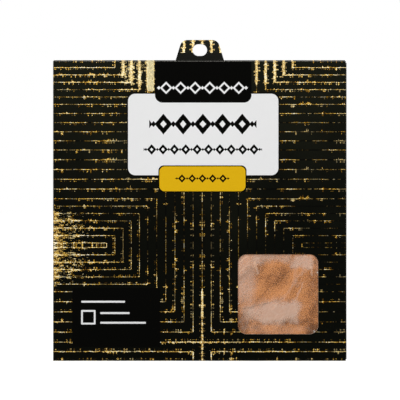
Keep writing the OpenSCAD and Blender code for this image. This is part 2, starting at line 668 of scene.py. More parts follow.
@dataclass(frozen=True)
class FoilPattern:
    """Nested rectangles of broken foil lines, mirrored about an upright line and each cell's middle."""

    middle_x: float = 1.27
    middle_z: float = -103.12
    half_cell: float = 50.34
    low_half_cell: float = 51.0
    outer_shrink: float = 0.065
    wide_step: float = 5.15
    low_wide_step: float = 5.33
    close_step: float = 3.88
    wide_rings: float = 5.0
    step_left: float = 4.8
    close_left: float = 4.32
    rings_left: float = 6.0
    step_right: float = 4.78
    line_gap: float = 4.4
    half_line: float = 0.12
    round_corner: float = 0.2
    noise_shift: float = 300.0
    there_from: tuple[float, float] = (0.43, 0.48)
    faint_from: tuple[float, float] = (0.33, 0.42)
    edge_blur: float = 0.05
    bold: tuple[Patch, ...] = (
        Patch(-33.0, 0.0, 11.0, 21.0, 3.0, 0.85),
        Patch(0.0, 2.0, 15.0, 6.0, 2.0, 0.7),
        Patch(37.0, 0.0, 13.0, 19.0, 3.0, 0.75),
        Patch(-58.0, -6.0, 24.0, 16.0, 6.0, 0.25),
        Patch(60.0, -8.0, 20.0, 14.0, 6.0, 0.25),
        Patch(-78.0, -103.6, 8.0, 21.0, 5.0, 0.35),
        Patch(-66.0, -103.6, 12.0, 19.0, 5.0, 0.12),
        Patch(1.3, -146.0, 2.5, 19.0, 1.5, 0.55),
        Patch(1.3, -154.5, 15.0, 1.5, 2.5, 0.6),
        Patch(-10.0, -158.0, 60.0, 5.0, 3.0, 0.3),
    )
    fill: tuple[Patch, ...] = (
        Patch(-26.0, 0.0, 2.0, 22.0, 0.4, 1.0),
        Patch(-34.0, 0.0, 6.0, 18.0, 3.0, 0.36),
        Patch(-80.0, -103.6, 8.0, 20.0, 5.0, 0.62),
        Patch(-70.0, -103.6, 9.0, 18.0, 6.0, 0.33),
    )
    sparse: tuple[Patch, ...] = (
        Patch(66.0, -115.0, 16.0, 36.0, 5.0, 1.0),
        Patch(-30.0, -88.0, 60.0, 8.0, 8.0, 0.4),
        Patch(0.0, -98.0, 28.0, 24.0, 5.0, 0.9),
        Patch(16.0, -103.6, 50.0, 8.0, 5.0, 1.0),
        Patch(55.0, -58.0, 26.0, 28.0, 6.0, 0.7),
        Patch(-55.0, -50.0, 26.0, 22.0, 6.0, 0.4),
    )
    foils: tuple[tuple[float, str], ...] = (
        (0.0, "3c270a"), (0.2, "80540f"), (0.4, "bd9028"),
        (0.6, "dab54c"), (0.78, "e2cd88"), (0.95, "e8e0c8"))
    dashes: LineNoise = LineNoise(0.12, 7.31, 0.5, 3.0, 0.65)
    tones: LineNoise = LineNoise(0.3, 3.17, 4.5, 2.0)
    clumps: LineNoise = LineNoise(0.12, 1.93, 6.5, 2.0)
    spikes: LineNoise = LineNoise(1.1, 5.1, 8.5, 2.0)
    crumbs: LineNoise = LineNoise(1.3, 3.9, 10.5, 1.0)
    sways: LineNoise = LineNoise(0.4, 5.7, 9.5, 1.0)
    dulls: LineNoise = LineNoise(0.08, 2.71, 12.5, 1.0)
    silvery: str = "8f8a6c"
    pale: str = "c3bc97"

    def rings(self, art: Drawing) -> tuple[Term, Term, Term, Term]:
        """Numbers the rings from a cell's border inwards.

        Args:
            art: The drawing.

        Returns:
            The ring number, a 1 on upright lines only, the folded height, and 1 or -1 where torn edges
            point towards higher or lower numbers.
        """
        up = abs(art.z - self.middle_z)
        low = art.z.math("LESS_THAN", self.middle_z)
        half_cell = low.swap(self.half_cell, self.low_half_cell)
        step = low.swap(self.wide_step, self.low_wide_step)
        to_border = abs(up - half_cell)
        beyond = up.math("GREATER_THAN", half_cell)
        shrink = beyond * -self.outer_shrink + 1.0
        wide = to_border / step / shrink
        close = (to_border - shrink * step * self.wide_rings) / self.close_step + self.wide_rings
        ring_z = wide.most(close)
        across = art.x - self.middle_x
        left = across * -1.0
        close_left = (left - self.rings_left * self.step_left) / self.close_left + self.rings_left
        ring_x = (across / self.step_right).most((left / self.step_left).most(close_left))
        ring = ring_x.math("SMOOTH_MIN", ring_z, self.round_corner)
        upright = ring_x.math("LESS_THAN", ring_z)
        return ring, upright, half_cell - to_border, beyond * (1.0 - upright) * 2.0 - 1.0

    def draw(self, art: Drawing) -> tuple[Term, Term, NodeSocket]:
        """Draws the foil: straight lines, torn on one side, with crumbs on the other.

        Args:
            art: The drawing.

        Returns:
            Where foil lies, from 0 to 1, a painted shade along each line, and the foil's colour.
        """
        tree = art.tree
        ring, upright, down, torn_way = self.rings(art)
        bold = patchwork(tree, art.x, art.z, self.bold)
        fill = patchwork(tree, art.x, art.z, self.fill)
        sparse = patchwork(tree, art.x, art.z, self.sparse)
        number = ring.math("ROUND")
        along = upright.swap(art.x, down + self.noise_shift)
        cross = upright.swap(down, art.x)
        kinds = (self.dashes, self.tones, self.clumps, self.spikes, self.crumbs, self.sways, self.dulls)
        dash, tone, clump, spike, crumb, sway, dull = (kind.over(tree, along, number) for kind in kinds)
        fleck = noise(tree, art.x * 2.4, down * 2.4, 2.5, 1.0)
        streak = noise(tree, along * 0.45, cross * 1.6, 5.5, 3.0, 0.6)

        # The line lies where it is there at all, with tufts on its torn side.
        offset = (ring - number) * self.line_gap * torn_way + (sway - 0.5) * (bold * 0.8 + 0.3)
        apart = abs(offset)
        there = dash + (crumb - 0.5) * 0.25 + bold * 0.2 - sparse * 0.12
        here = there.rise(*self.there_from)
        wide = bold * bold * (upright * 0.55 + 0.35) - sparse * 0.04 + self.half_line
        reach = here.swap(-0.5, wide)
        tuft = (spike - 0.52).most(0.0) * ((clump - 0.5).most(0.0) * 50.0 + fill * 13.0 + bold * 4.0 + 0.9)
        frayed = (crumb - 0.5).most(0.0) * (bold * 2.0 + 0.9)
        blur = self.edge_blur
        line = (reach + tuft - offset).least(reach + frayed + offset).rise(-blur, blur)
        # Crumbs lie beside it, a faint trace where it breaks, and blots between heavy lines.
        crumbs = ((crumb - 0.57) * 3.0 - abs(offset + 0.95 + bold * 0.5)).rise(-blur, blur)
        faint = (0.14 - apart).rise(-0.08, 0.08) * (there.rise(*self.faint_from) * 0.4)
        blot = (streak + fill * 0.38 - 0.66 + (fleck - 0.5) * 0.2 - apart * 0.035).rise(-0.01, 0.02)
        mask = line.most(crumbs * here).most(faint).most(blot * fill.rise(0.02, 0.2))

        ramp = tree.nodes.new("ShaderNodeValToRGB")
        while len(ramp.color_ramp.elements) < len(self.foils):
            ramp.color_ramp.elements.new(0.5)
        for element, (place, code) in zip(ramp.color_ramp.elements, self.foils):
            element.position = place
            element.color = ink(code)
        # Each line is paler in its middle and browner towards its edges: a painted highlight for the foil's
        # reflection
        core_glint = apart.rise(0.6, 0.1)
        shade = (fleck - 0.5) * 3.0 + (tone - 0.5) * 1.5 + core_glint * (fill * 0.2 + 0.28) + bold * 0.15
        shade = shade - sparse * 0.12 + 0.25
        join(tree, shade, ramp.inputs[0])
        silver = (dull - bold * 0.3).rise(0.56, 0.62) * 0.5
        gold = mix_colour(tree, silver, ramp.outputs[0], ink(self.silvery))
        # A painted shade that darkens the black along each line
        line_shade = (0.3 - apart).rise(-0.1, 0.1)
        solid = (bold * bold * 0.45).most((fill - 0.7) * 2.3)
        return mask, line_shade, mix_colour(tree, solid, gold, ink(self.pale))


@dataclass(frozen=True)
class PrintedCard:
    """Black laminated card with foil lines and plain printed blocks."""

    black: str = "050603"
    lighter: str = "16170f"
    # Black beyond the top crease, lightened as a painted sheen
    painted_tab_sheen: str = "22231e"
    block_black: str = "020201"
    white: str = "e5e5e5"
    yellow: str = "d9ac12"
    # The cut edge round the window, tinted pink by a painted reflection of the copper
    core_glint: str = "d6ab90"
    wear_and_sheen: str = "8d8b84"
    outline: float = 0.55
    brush_blur: float = 0.08
    edge: float = 0.04
    edge_share: float = 0.6
    foil: FoilPattern = field(default_factory=FoilPattern)
    title: Block = Block(1.8, -14.6, 50.9, 26.4, 4.0)
    label: Block = Block(1.8, -44.6, 79.3, 43.0, 3.8)
    tag: Block = Block(1.4, -68.0, 45.4, 13.1, 2.8)
    info: Block = Block(-44.1, -141.1, 46.4, 31.1, 0.2)
    back_label: Block = Block(0.0, -102.0, 96.0, 84.0, 3.8)
    crease_z: float = -5.58
    # The black grows lighter upwards from this height, by this much a millimetre: a painted light from above
    top_light_from_z: float = -90.0
    top_light_rise: float = 0.005
    card_rough: float = 0.46
    foil_rough: float = 0.30
    info_square: Block = Block(-58.8, -141.0, 7.6, 7.6, 0.4)
    square_half_line: float = 0.45
    info_rules: tuple[Block, ...] = (
        Block(-51.0, -132.8, 23.0, 1.0, 0.3),
        Block(-44.8, -138.8, 15.5, 1.0, 0.3),
        Block(-40.5, -143.9, 24.0, 1.0, 0.3),
    )
    title_row: OrnamentRow = OrnamentRow(1.4, -20.0, 46.0, 6.6, 6, 6.6, 0.9, 0.12)
    label_row: OrnamentRow = OrnamentRow(1.6, -39.1, 52.0, 11.0, 5, 9.4, 2.3, 0.4)
    label_low_row: OrnamentRow = OrnamentRow(1.6, -52.5, 60.0, 5.6, 10, 5.0, 1.2, 0.25)
    tag_row: OrnamentRow = OrnamentRow(1.4, -67.8, 27.0, 4.4, 5, 4.2, 0.9, 0.15)

    def info_marks(self, art: Drawing) -> Term:
        """Distance from a small square and plain rules, negative inside them.

        Args:
            art: The drawing.

        Returns:
            The distance in millimetres.
        """
        marks = abs(art.box(self.info_square) + self.square_half_line) - self.square_half_line
        for rule in self.info_rules:
            marks = marks.least(art.box(rule))
        return marks

    def paint(self, art: Drawing, colour: NodeSocket, foil: Term, side: Side
              ) -> tuple[NodeSocket, Term]:
        """Lays the printed blocks over the foil pattern.

        Args:
            art: The drawing.
            colour: Colour of the card below.
            foil: Where foil lies.
            side: Side of the pack.

        Returns:
            The colour and where foil still lies.
        """
        black, white, outline = self.block_black, self.white, self.outline
        layers = {
            Side.FRONT: ((self.label, outline, black), (self.label, 0.0, white), (self.title, 0.0, black),
                         (self.tag, outline, black), (self.tag, 0.0, self.yellow), (self.info, 0.0, black)),
            Side.FLAP: ((self.title, 0.0, black),),
            Side.BACK: ((self.back_label, outline, black), (self.back_label, 0.0, white)),
        }
        for block, grow, code in layers[side]:
            over = art.cover(art.box(block, grow))
            colour = mix_colour(art.tree, over, colour, ink(code))
            foil = foil * (1.0 - over)
        if side is Side.FRONT:
            marks = [(art.chain(self.label_row), black), (art.chain(self.label_low_row), black),
                     (art.chain(self.title_row), white), (art.chain(self.tag_row), black),
                     (self.info_marks(art), white)]
            for mark, code in marks:
                colour = mix_colour(art.tree, art.cover(mark, self.brush_blur), colour, ink(code))
            # A thin pink band at the window's edge: the cut card, with a painted reflection of the copper
            cut = abs(art.box(WINDOW)) - self.edge
            colour = mix_colour(art.tree, art.cover(cut) * self.edge_share, colour, ink(self.core_glint))
        return colour, foil

    def make(self, side: Side) -> Material:
        """Builds the material.

        Args:
            side: Which side of the pack it is for.

        Returns:
            The material.
        """
        art = Drawing(f"printed card {side.value}").on_print_place()
        tree = art.tree
        foil, line_shade, gold = self.foil.draw(art)
        cloudy = art.noise(0.03, 1.0, 2.0)
        grain = art.noise(2.6, 7.0, 3.0)
        # Random cloudy tone, plus a painted light that makes the black lighter towards the top
        cloud_and_top_light = (cloudy * 0.8 + (art.z - self.top_light_from_z) * self.top_light_rise).rise(0.25, 1.0)
        dark = mix_colour(tree, cloud_and_top_light, ink(self.black), ink(self.lighter))
        # Painted shade: the black is darker along the foil lines
        dark = mix_colour(tree, line_shade * 0.8, dark, ink(self.block_black))
        colour, foil = self.paint(art, mix_colour(tree, foil, dark, gold), foil, side)
        # Beyond the top crease the black is lightened with grain: a painted sheen for the tab leaning back
        # into the light, which also falls on the card over the top and the flap
        above = art.z.rise(self.crease_z, self.crease_z + 0.3) * (0.25 + grain * 0.5)
        colour = mix_colour(tree, above * (1.0 - foil), colour, ink(self.painted_tab_sheen))
        # Grey along the folds: partly worn card, partly a painted highlight on the rounded folds
        rubbed_and_lit = (art.wear_and_sheen + (grain - 0.5) * 0.9 - 0.72).rise(0.0, 0.25)
        colour = mix_colour(tree, rubbed_and_lit * 0.75, colour, ink(self.wear_and_sheen))
        rough = foil.swap(self.card_rough + grain * 0.12, self.foil_rough + grain * 0.16)
        relief = grain * 0.35 + foil * 0.5 + cloudy * 0.5
        return art.finish(colour, rough, metallic=foil * 0.85, height=relief, depth=0.02, specular=0.02)


@dataclass(frozen=True)
class BareCard:
    """Uncoated side and cut edge of the card."""

    pale: str = "ece9e1"
    dark: str = "cfcabd"
    fibre: str = "b9b09c"

    def make(self) -> Material:
        """Builds the material.

        Returns:
            The material.
        """
        art = Drawing("bare card").on_print_place()
        pulp = art.noise(0.9, 3.0, 4.0)
        fibres = noise(art.tree, art.x * 3.0, art.z * 0.6, art.wear_and_sheen * 4.0, 3.0)
        colour = mix_colour(art.tree, pulp.rise(0.3, 0.75), ink(self.pale), ink(self.dark))
        colour = mix_colour(art.tree, fibres.rise(0.62, 0.7) * 0.6, colour, ink(self.fibre))
        relief = pulp * 0.6 + fibres * 0.4
        return art.finish(colour, roughness=0.85, height=relief, depth=0.03, specular=0.25)


@dataclass(frozen=True)
class CopperLeaf:
    """Thin beaten copper-coloured leaf with a fine slanting grain."""

    bright: str = "bf8250"
    deep: str = "7d4a22"
    shadow: str = "553116"
    slant: float = 50.0
    base_tone: float = 0.44
    cloud_share: float = 1.9
    grain_share: float = 2.0
    speck_share: float = 2.3
    shade_share: float = 0.65
    shade: tuple[Patch, ...] = (
        Patch(60.5, -133.0, 3.0, 8.0, 3.0, 0.5),
        Patch(60.5, -147.5, 4.0, 3.4, 2.5, 1.5),
        Patch(21.0, -146.0, 6.0, 5.0, 4.0, 1.1),
        Patch(29.0, -146.5, 4.0, 2.5, 3.0, 0.6),
        Patch(44.0, -143.6, 18.0, 1.4, 1.4, 0.7),
        Patch(37.0, -119.0, 8.0, 5.0, 5.0, 0.45),
        Patch(61.0, -122.0, 3.0, 7.0, 3.0, 0.55),
        Patch(43.5, -109.6, 6.0, 2.6, 2.5, 0.5),
        Patch(62.2, -110.0, 2.0, 3.0, 2.0, 0.8),
    )

    def make(self) -> Material:
        """Builds the material.

        Returns:
            The material.
        """
        art = Drawing("copper leaf").on_object()
        tree = art.tree
        along, across = turned(art.x, art.z, self.slant)
        grain = noise(tree, along * 1.2, across * 2.6, 3.0, 1.0)
        cloudy = noise(tree, along * 0.06, across * 0.16, 5.0, 3.0, 0.55)
        bend = (art.noise(0.2, 4.0, 2.0) - 0.5) * 5.0
        dark = patchwork(tree, art.x + bend, art.z + bend, self.shade)
        speck = noise(tree, along * 2.2, across * 3.6, 8.0, 0.0)
        tone = (cloudy - 0.5) * self.cloud_share + (grain - 0.5) * self.grain_share
        tone = tone + (speck - 0.5) * self.speck_share + self.base_tone + dark * self.shade_share
        colour = mix_colour(tree, tone.rise(0.0, 1.0), ink(self.bright), ink(self.deep))
        colour = mix_colour(tree, (tone - 0.75).rise(0.0, 0.6), colour, ink(self.shadow))
        relief = grain * 0.7 + cloudy * 0.3
        return art.finish(colour, roughness=0.34 + grain * 0.2, metallic=0.9, height=relief, depth=0.05)


@dataclass(frozen=True)
class TissuePaper:
    """Thin see-through tissue, which turns milky where it stands off the leaf."""

    paper: str = "efcab2"
    fibre: str = "f7dcc8"
    glow: str = "ffd0ac"
    shade: str = "6b4630"
    slant: float = 50.0
    clear: float = 0.02
    milky: float = 0.36
    densest: float = 0.9
    cloud_share: float = 0.5
    grain_share: float = 0.35
    speck_share: float = 0.7
    ridge_share: float = 0.07
    fold_share: float = 0.3
    bright_folds: tuple[FoldLine, ...] = (
        FoldLine(28.8, -112.0, 30.7, -118.2, 1.0, 0.7),
        FoldLine(44.0, -131.6, 54.2, -116.4, 0.9, 0.3),
        FoldLine(50.6, -131.6, 54.6, -122.6, 0.8, 0.55),
        FoldLine(53.0, -119.0, 58.9, -114.6, 0.7, 0.4),
        FoldLine(58.6, -114.6, 59.2, -118.8, 0.8, 0.7),
        FoldLine(20.6, -112.2, 25.2, -108.6, 0.9, 0.55),
        FoldLine(21.0, -117.4, 26.4, -111.6, 1.1, 0.45),
        FoldLine(45.0, -129.0, 38.0, -137.0, 0.8, 0.25),
        FoldLine(27.0, -147.4, 56.0, -147.2, 2.6, 0.14),
    )
    dark_folds: tuple[FoldLine, ...] = (
        FoldLine(20.4, -137.2, 36.0, -133.7, 0.6, 0.55),
        FoldLine(36.0, -133.7, 44.0, -131.4, 0.5, 0.35),
        FoldLine(21.8, -121.0, 27.0, -115.5, 2.6, 0.35),
        FoldLine(22.0, -147.0, 34.0, -145.0, 1.4, 0.35),
    )

    def make(self) -> Material:
        """Builds the material.

        Returns:
            The material.
        """
        art = Drawing("tissue paper").on_object()
        tree = art.tree
        along, across = turned(art.x, art.z, self.slant)
        grain = noise(tree, along * 0.6, across * 1.6, 7.0, 3.0, 0.6)
        cloudy = noise(tree, along * 0.1, across * 0.2, 2.0, 3.0)
        lift, ridge = attribute(tree, LIFT), attribute(tree, RIDGE)
        speck = art.noise(2.6, 3.0, 1.0)
        haze = lift + (cloudy - 0.5) * self.cloud_share * lift.rise(0.0, 0.3)
        haze = haze + (grain - 0.5) * self.grain_share + (speck - 0.5) * self.speck_share
        bend = (art.noise(0.5, 9.0, 2.0) - 0.5) * 2.5
        bright = patchwork(tree, art.x + bend, art.z, self.bright_folds) * (0.6 + grain * 0.8)
        dark = patchwork(tree, art.x, art.z + bend, self.dark_folds)
        alpha = haze.rise(-0.05, 1.1) * self.milky + self.clear + ridge.rise(0.6, 0.95) * self.ridge_share
        alpha = alpha + bright * self.fold_share + dark * self.fold_share
        join(tree, alpha.least(self.densest), art.shader.inputs["Alpha"])
        colour = mix_colour(tree, grain.rise(0.4, 0.7), ink(self.paper), ink(self.fibre))
        colour = mix_colour(tree, bright, colour, ink(self.glow))
        colour = mix_colour(tree, dark, colour, ink(self.shade))
        return art.finish(colour, roughness=0.6, height=grain, depth=0.04, specular=0.3)


@dataclass(frozen=True)
class Glue:
    """Soft pale glue, slightly cloudy."""

    pale: str = "e6dfc6"
    amber: str = "d3c698"

    def make(self) -> Material:
        """Builds the material.

        Returns:
            The material.
        """
        art = Drawing("glue").on_object()
        cloudy = art.noise(0.4, 3.0, 3.0)
        fine = art.noise(3.0, 1.0, 2.0)
        colour = mix_colour(art.tree, cloudy.rise(0.3, 0.7), ink(self.pale), ink(self.amber))
        relief = cloudy * 0.7 + fine * 0.3
        return art.finish(colour, roughness=0.3 + fine * 0.2, height=relief, depth=0.05)


class CardSheet:
    """A sheet of card cut flat, folded and given its thickness."""

    def __init__(self, name: str, outline: Sequence[Point], holes: Sequence[Sequence[Point]] = (),
                 columns: Sequence[float] = (), rows: Sequence[float] = (), step: float = 3.0) -> None:
        """Cuts the sheet.

        Args:
            name: Name of the piece.
            outline: Outer outline on the flat sheet, in millimetres.
            holes: Outlines of its holes.
            columns: Places across where a fold needs upright lines of points.
            rows: Heights where a fold needs level lines of points.
            step: Distance of the points elsewhere.
        """
        self.name = name
        self.loops = [self.refined(loop, columns, rows, step) for loop in (outline, *holes)]
        self.points, self.triangles = self.cut(columns, rows, step)

    @staticmethod
    def refined(loop: Sequence[Point], columns: Sequence[float], rows: Sequence[float],
                step: float) -> list[Point]:
        """Adds points to an outline where it crosses a fold and where its edges are long.

        Args:
            loop: The outline's corners.
            columns: Places across where it may cross a fold.
            rows: Heights where it may cross a fold.
            step: Longest edge that stays whole.

        Returns:
            The outline with more points.
        """
        points: list[Point] = []
        for (x0, z0), (x1, z1) in zip(loop, [*loop[1:], loop[0]]):
            length = math.hypot(x1 - x0, z1 - z0)
            least = SHORTEST_EDGE / max(length, SHORTEST_EDGE)
            crossings = [(c - x0) / (x1 - x0) for c in columns if x1 != x0]
            crossings += [(r - z0) / (z1 - z0) for r in rows if z1 != z0]
            stops = [0.0]
            for share in sorted(crossings):
                if stops[-1] + least < share < 1 - least:
                    stops.append(share)
            for a, b in zip(stops, [*stops[1:], 1.0]):
                shares = np.linspace(a, b, math.ceil((b - a) * length / step) + 1)[:-1]
                points += [(x0 + (x1 - x0) * share, z0 + (z1 - z0) * share) for share in shares]
        return points

    def inside(self, spots: np.ndarray) -> np.ndarray:
        """Tells which points lie on the card.

        Args:
            spots: Points as rows.

        Returns:
            True for each point inside the outline and outside the holes.
        """
        odd = np.zeros(len(spots), bool)
        for loop in self.loops:
            ring = np.array(loop)
            for (x0, z0), (x1, z1) in zip(ring, np.roll(ring, -1, axis=0)):
                if z0 == z1:
                    continue
                crosses = (z0 > spots[:, 1]) != (z1 > spots[:, 1])
                odd ^= crosses & (spots[:, 0] < (x1 - x0) * (spots[:, 1] - z0) / (z1 - z0) + x0)
        return odd

    def cut(self, columns: Sequence[float], rows: Sequence[float],
            step: float) -> tuple[np.ndarray, np.ndarray]:
        """Fills the outline with triangles.

        Args:
            columns: Places across that get a line of points.
            rows: Heights that get a line of points.
            step: Distance of the other points.

        Returns:
            The points and the triangles' corners.
        """
        ring = np.array([spot for loop in self.loops for spot in loop])
        low, high = ring.min(0), ring.max(0)

        def marks(fixed: Sequence[float], start: float, end: float) -> np.ndarray:
            """Fixed places and evenly spaced ones between them.

            Args:
                fixed: Places that get a line.
                start: The first line.
                end: The last line.

            Returns:
                All lines in order.
            """
            stops = sorted({start, end, *[f for f in fixed if start < f < end]})
            spread = [np.linspace(a, b, max(2, math.ceil((b - a) / step) + 1))[:-1]
                      for a, b in zip(stops, stops[1:])]
            return np.append(np.concatenate(spread), end)

        levels = marks(rows, low[1], high[1])
        grid = np.array([(x, z) for x in marks(columns, low[0], high[0]) for z in levels])
        edges, spots = [], []
        for loop in self.loops:
            first = len(spots)
            spots += loop
            edges += [(first + i, first + (i + 1) % len(loop)) for i in range(len(loop))]
        near = np.full(len(grid), np.inf)
        for a, b in edges:
            start, run = np.array(spots[a]), np.array(spots[b]) - np.array(spots[a])
            share = np.clip(((grid - start) @ run) / max(run @ run, NEAR_ZERO), 0, 1)
            near = np.minimum(near, np.linalg.norm(grid - start - share[:, None] * run, axis=1))
        grid = grid[self.inside(grid) & (near > EDGE_MARGIN)]
        places = [Vector(s) for s in spots] + [Vector(g) for g in grid]
        verts, _, faces, *_ = delaunay_2d_cdt(places, edges, [], 0, WELD, False)
        points = np.array([tuple(v) for v in verts])
        triangles = np.array(faces)
        middle = points[triangles].mean(axis=1)
        return points, triangles[self.inside(middle)]

    def build(self, fold: Callable[[np.ndarray], tuple[np.ndarray, np.ndarray]],
              place: Callable[[np.ndarray], np.ndarray], thickness: float,
              looks: tuple[Material, Material]) -> Object:
        """Folds the sheet and gives it its thickness.

        Args:
            fold: Gives the place of each flat point on the printed face, and the way that face looks.
            place: Gives each flat point's place in the artwork, with how worn it is and its painted fold
                highlight.
            thickness: Thickness of the card.
            looks: Materials of the printed face and of the bare card.

        Returns:
            The finished piece.
        """
        used, numbers = np.unique(self.triangles, return_inverse=True)
        triangles = numbers.reshape(self.triangles.shape).tolist()
        flat = self.points[used]
        face, normal = fold(flat)
        artwork = place(flat)
        count = len(flat)
        sides = dict.fromkeys(side for t in triangles for side in zip(t, t[1:] + t[:1]))
        rims = [(a, b) for a, b in sides if (b, a) not in sides]
        faces = [*triangles, *[[i + count for i in reversed(t)] for t in triangles]]
        faces += [[b, a, a + count, b + count] for a, b in rims]
        slots = [0] * len(triangles) + [1] * (len(triangles) + len(rims))
        points = np.vstack([face, face - normal * thickness])
        return card_piece(self.name, points, faces, looks, slots, np.vstack([artwork, artwork]))


def linked(name: str, data: ID) -> Object:
    """Makes an object of a mesh, lamp or camera and links it to the scene.

    Args:
        name: Its name.
        data: The mesh, lamp or camera.

    Returns:
        The object.
    """
    item = bpy.data.objects.new(name, data)
    bpy.context.scene.collection.objects.link(item)
    return item


def finished(name: str, mesh: Mesh, angle: float = 35.0) -> Object:
    """Turns the faces outwards, shades them smooth up to an angle and links the object.

    Args:
        name: Name of the piece.
        mesh: Its mesh.
        angle: Edges sharper than this stay sharp, in degrees.

    Returns:
        The linked object.
    """
    work = bmesh.new()
    work.from_mesh(mesh)
    bmesh.ops.recalc_face_normals(work, faces=work.faces)
    for part in work.faces:
        part.smooth = True
    for edge in work.edges:
        edge.smooth = len(edge.link_faces) == 2 and edge.calc_face_angle(math.pi) < math.radians(angle)
    work.to_mesh(mesh)
    work.free()
    return linked(name, mesh)


def card_piece(name: str, points: np.ndarray, faces: Sequence[Sequence[int]],
               looks: tuple[Material, Material], slots: Sequence[int],
               artwork: np.ndarray) -> Object:
    """Makes a piece of printed card from its faces.

    Args:
        name: Name of the piece.
        points: Its points in millimetres.
        faces: The corners of each face.
        looks: Materials of the printed face and of the bare card.
        slots: Which of the two each face has.
        artwork: Each point's place in the artwork, with how worn it is and its painted fold highlight.

    Returns:
        The linked object.
    """
    mesh = bpy.data.meshes.new(name)
    mesh.from_pydata(points * MM, [], faces)
    for look in looks:
        mesh.materials.append(look)
    mesh.polygons.foreach_set("material_index", slots)
    spots = mesh.attributes.new(PRINT_PLACE, "FLOAT_VECTOR", "POINT")
    spots.data.foreach_set("vector", artwork.astype(np.float32).ravel())
    return finished(name, mesh)


def report(piece: Object) -> Object:
    """Logs a finished piece with its number of faces."""
    LOG.info("%s: %d faces", piece.name, len(piece.data.polygons))
    return piece


def arc(x: float, z: float, r: float, start: float, end: float, count: int = 10) -> list[Point]:
    """Points on a round stretch of an outline.

    Args:
        x: Centre.
        z: Centre.
        r: Radius.
        start: First angle in degrees, from +X towards +Z.
        end: Last angle.
        count: Number of points.

    Returns:
        The points in order.
    """
    turns = np.radians(np.linspace(start, end, count))
    return [(x + r * math.cos(t), z + r * math.sin(t)) for t in turns]


def round_box(shape: Block, count: int = 12) -> list[Point]:
    """Outline of a block with round corners, anticlockwise.

    Args:
        shape: The block.
        count: Number of points on each corner.

    Returns:
        The points in order.
    """
    points: list[Point] = []
    for i, (sx, sz) in enumerate(((1, 1), (-1, 1), (-1, -1), (1, -1))):
        centre_x = shape.x + sx * (shape.w / 2 - shape.r)
        centre_z = shape.z + sz * (shape.h / 2 - shape.r)
        points += arc(centre_x, centre_z, shape.r, 90 * i, 90 * i + 90, count)
    return points


def tapered(w: float, h: float, slope: float, r: float, grow: float = 0.0) -> list[Point]:
    """Outline of a flap that narrows from its crease at 0, open along the crease.

    Args:
        w: Width at the crease.
        h: Height from the crease.
        slope: Angle by which each side leans in, in degrees.
        r: Radius of its far corners.
        grow: Amount added on every side.

    Returns:
        Points from the right end of the crease over the far edge to its left end.
    """
    lean = math.radians(slope)
    half, high, radius = w / 2 + grow / math.cos(lean), h + grow, r + grow
    centre_z = high - radius
    centre_x = (half * math.cos(lean) - radius - centre_z * math.sin(lean)) / math.cos(lean)
    right = [(half, 0.0), *arc(centre_x, centre_z, radius, slope, 90)]
    return right + [(-x, z) for x, z in reversed(right)]


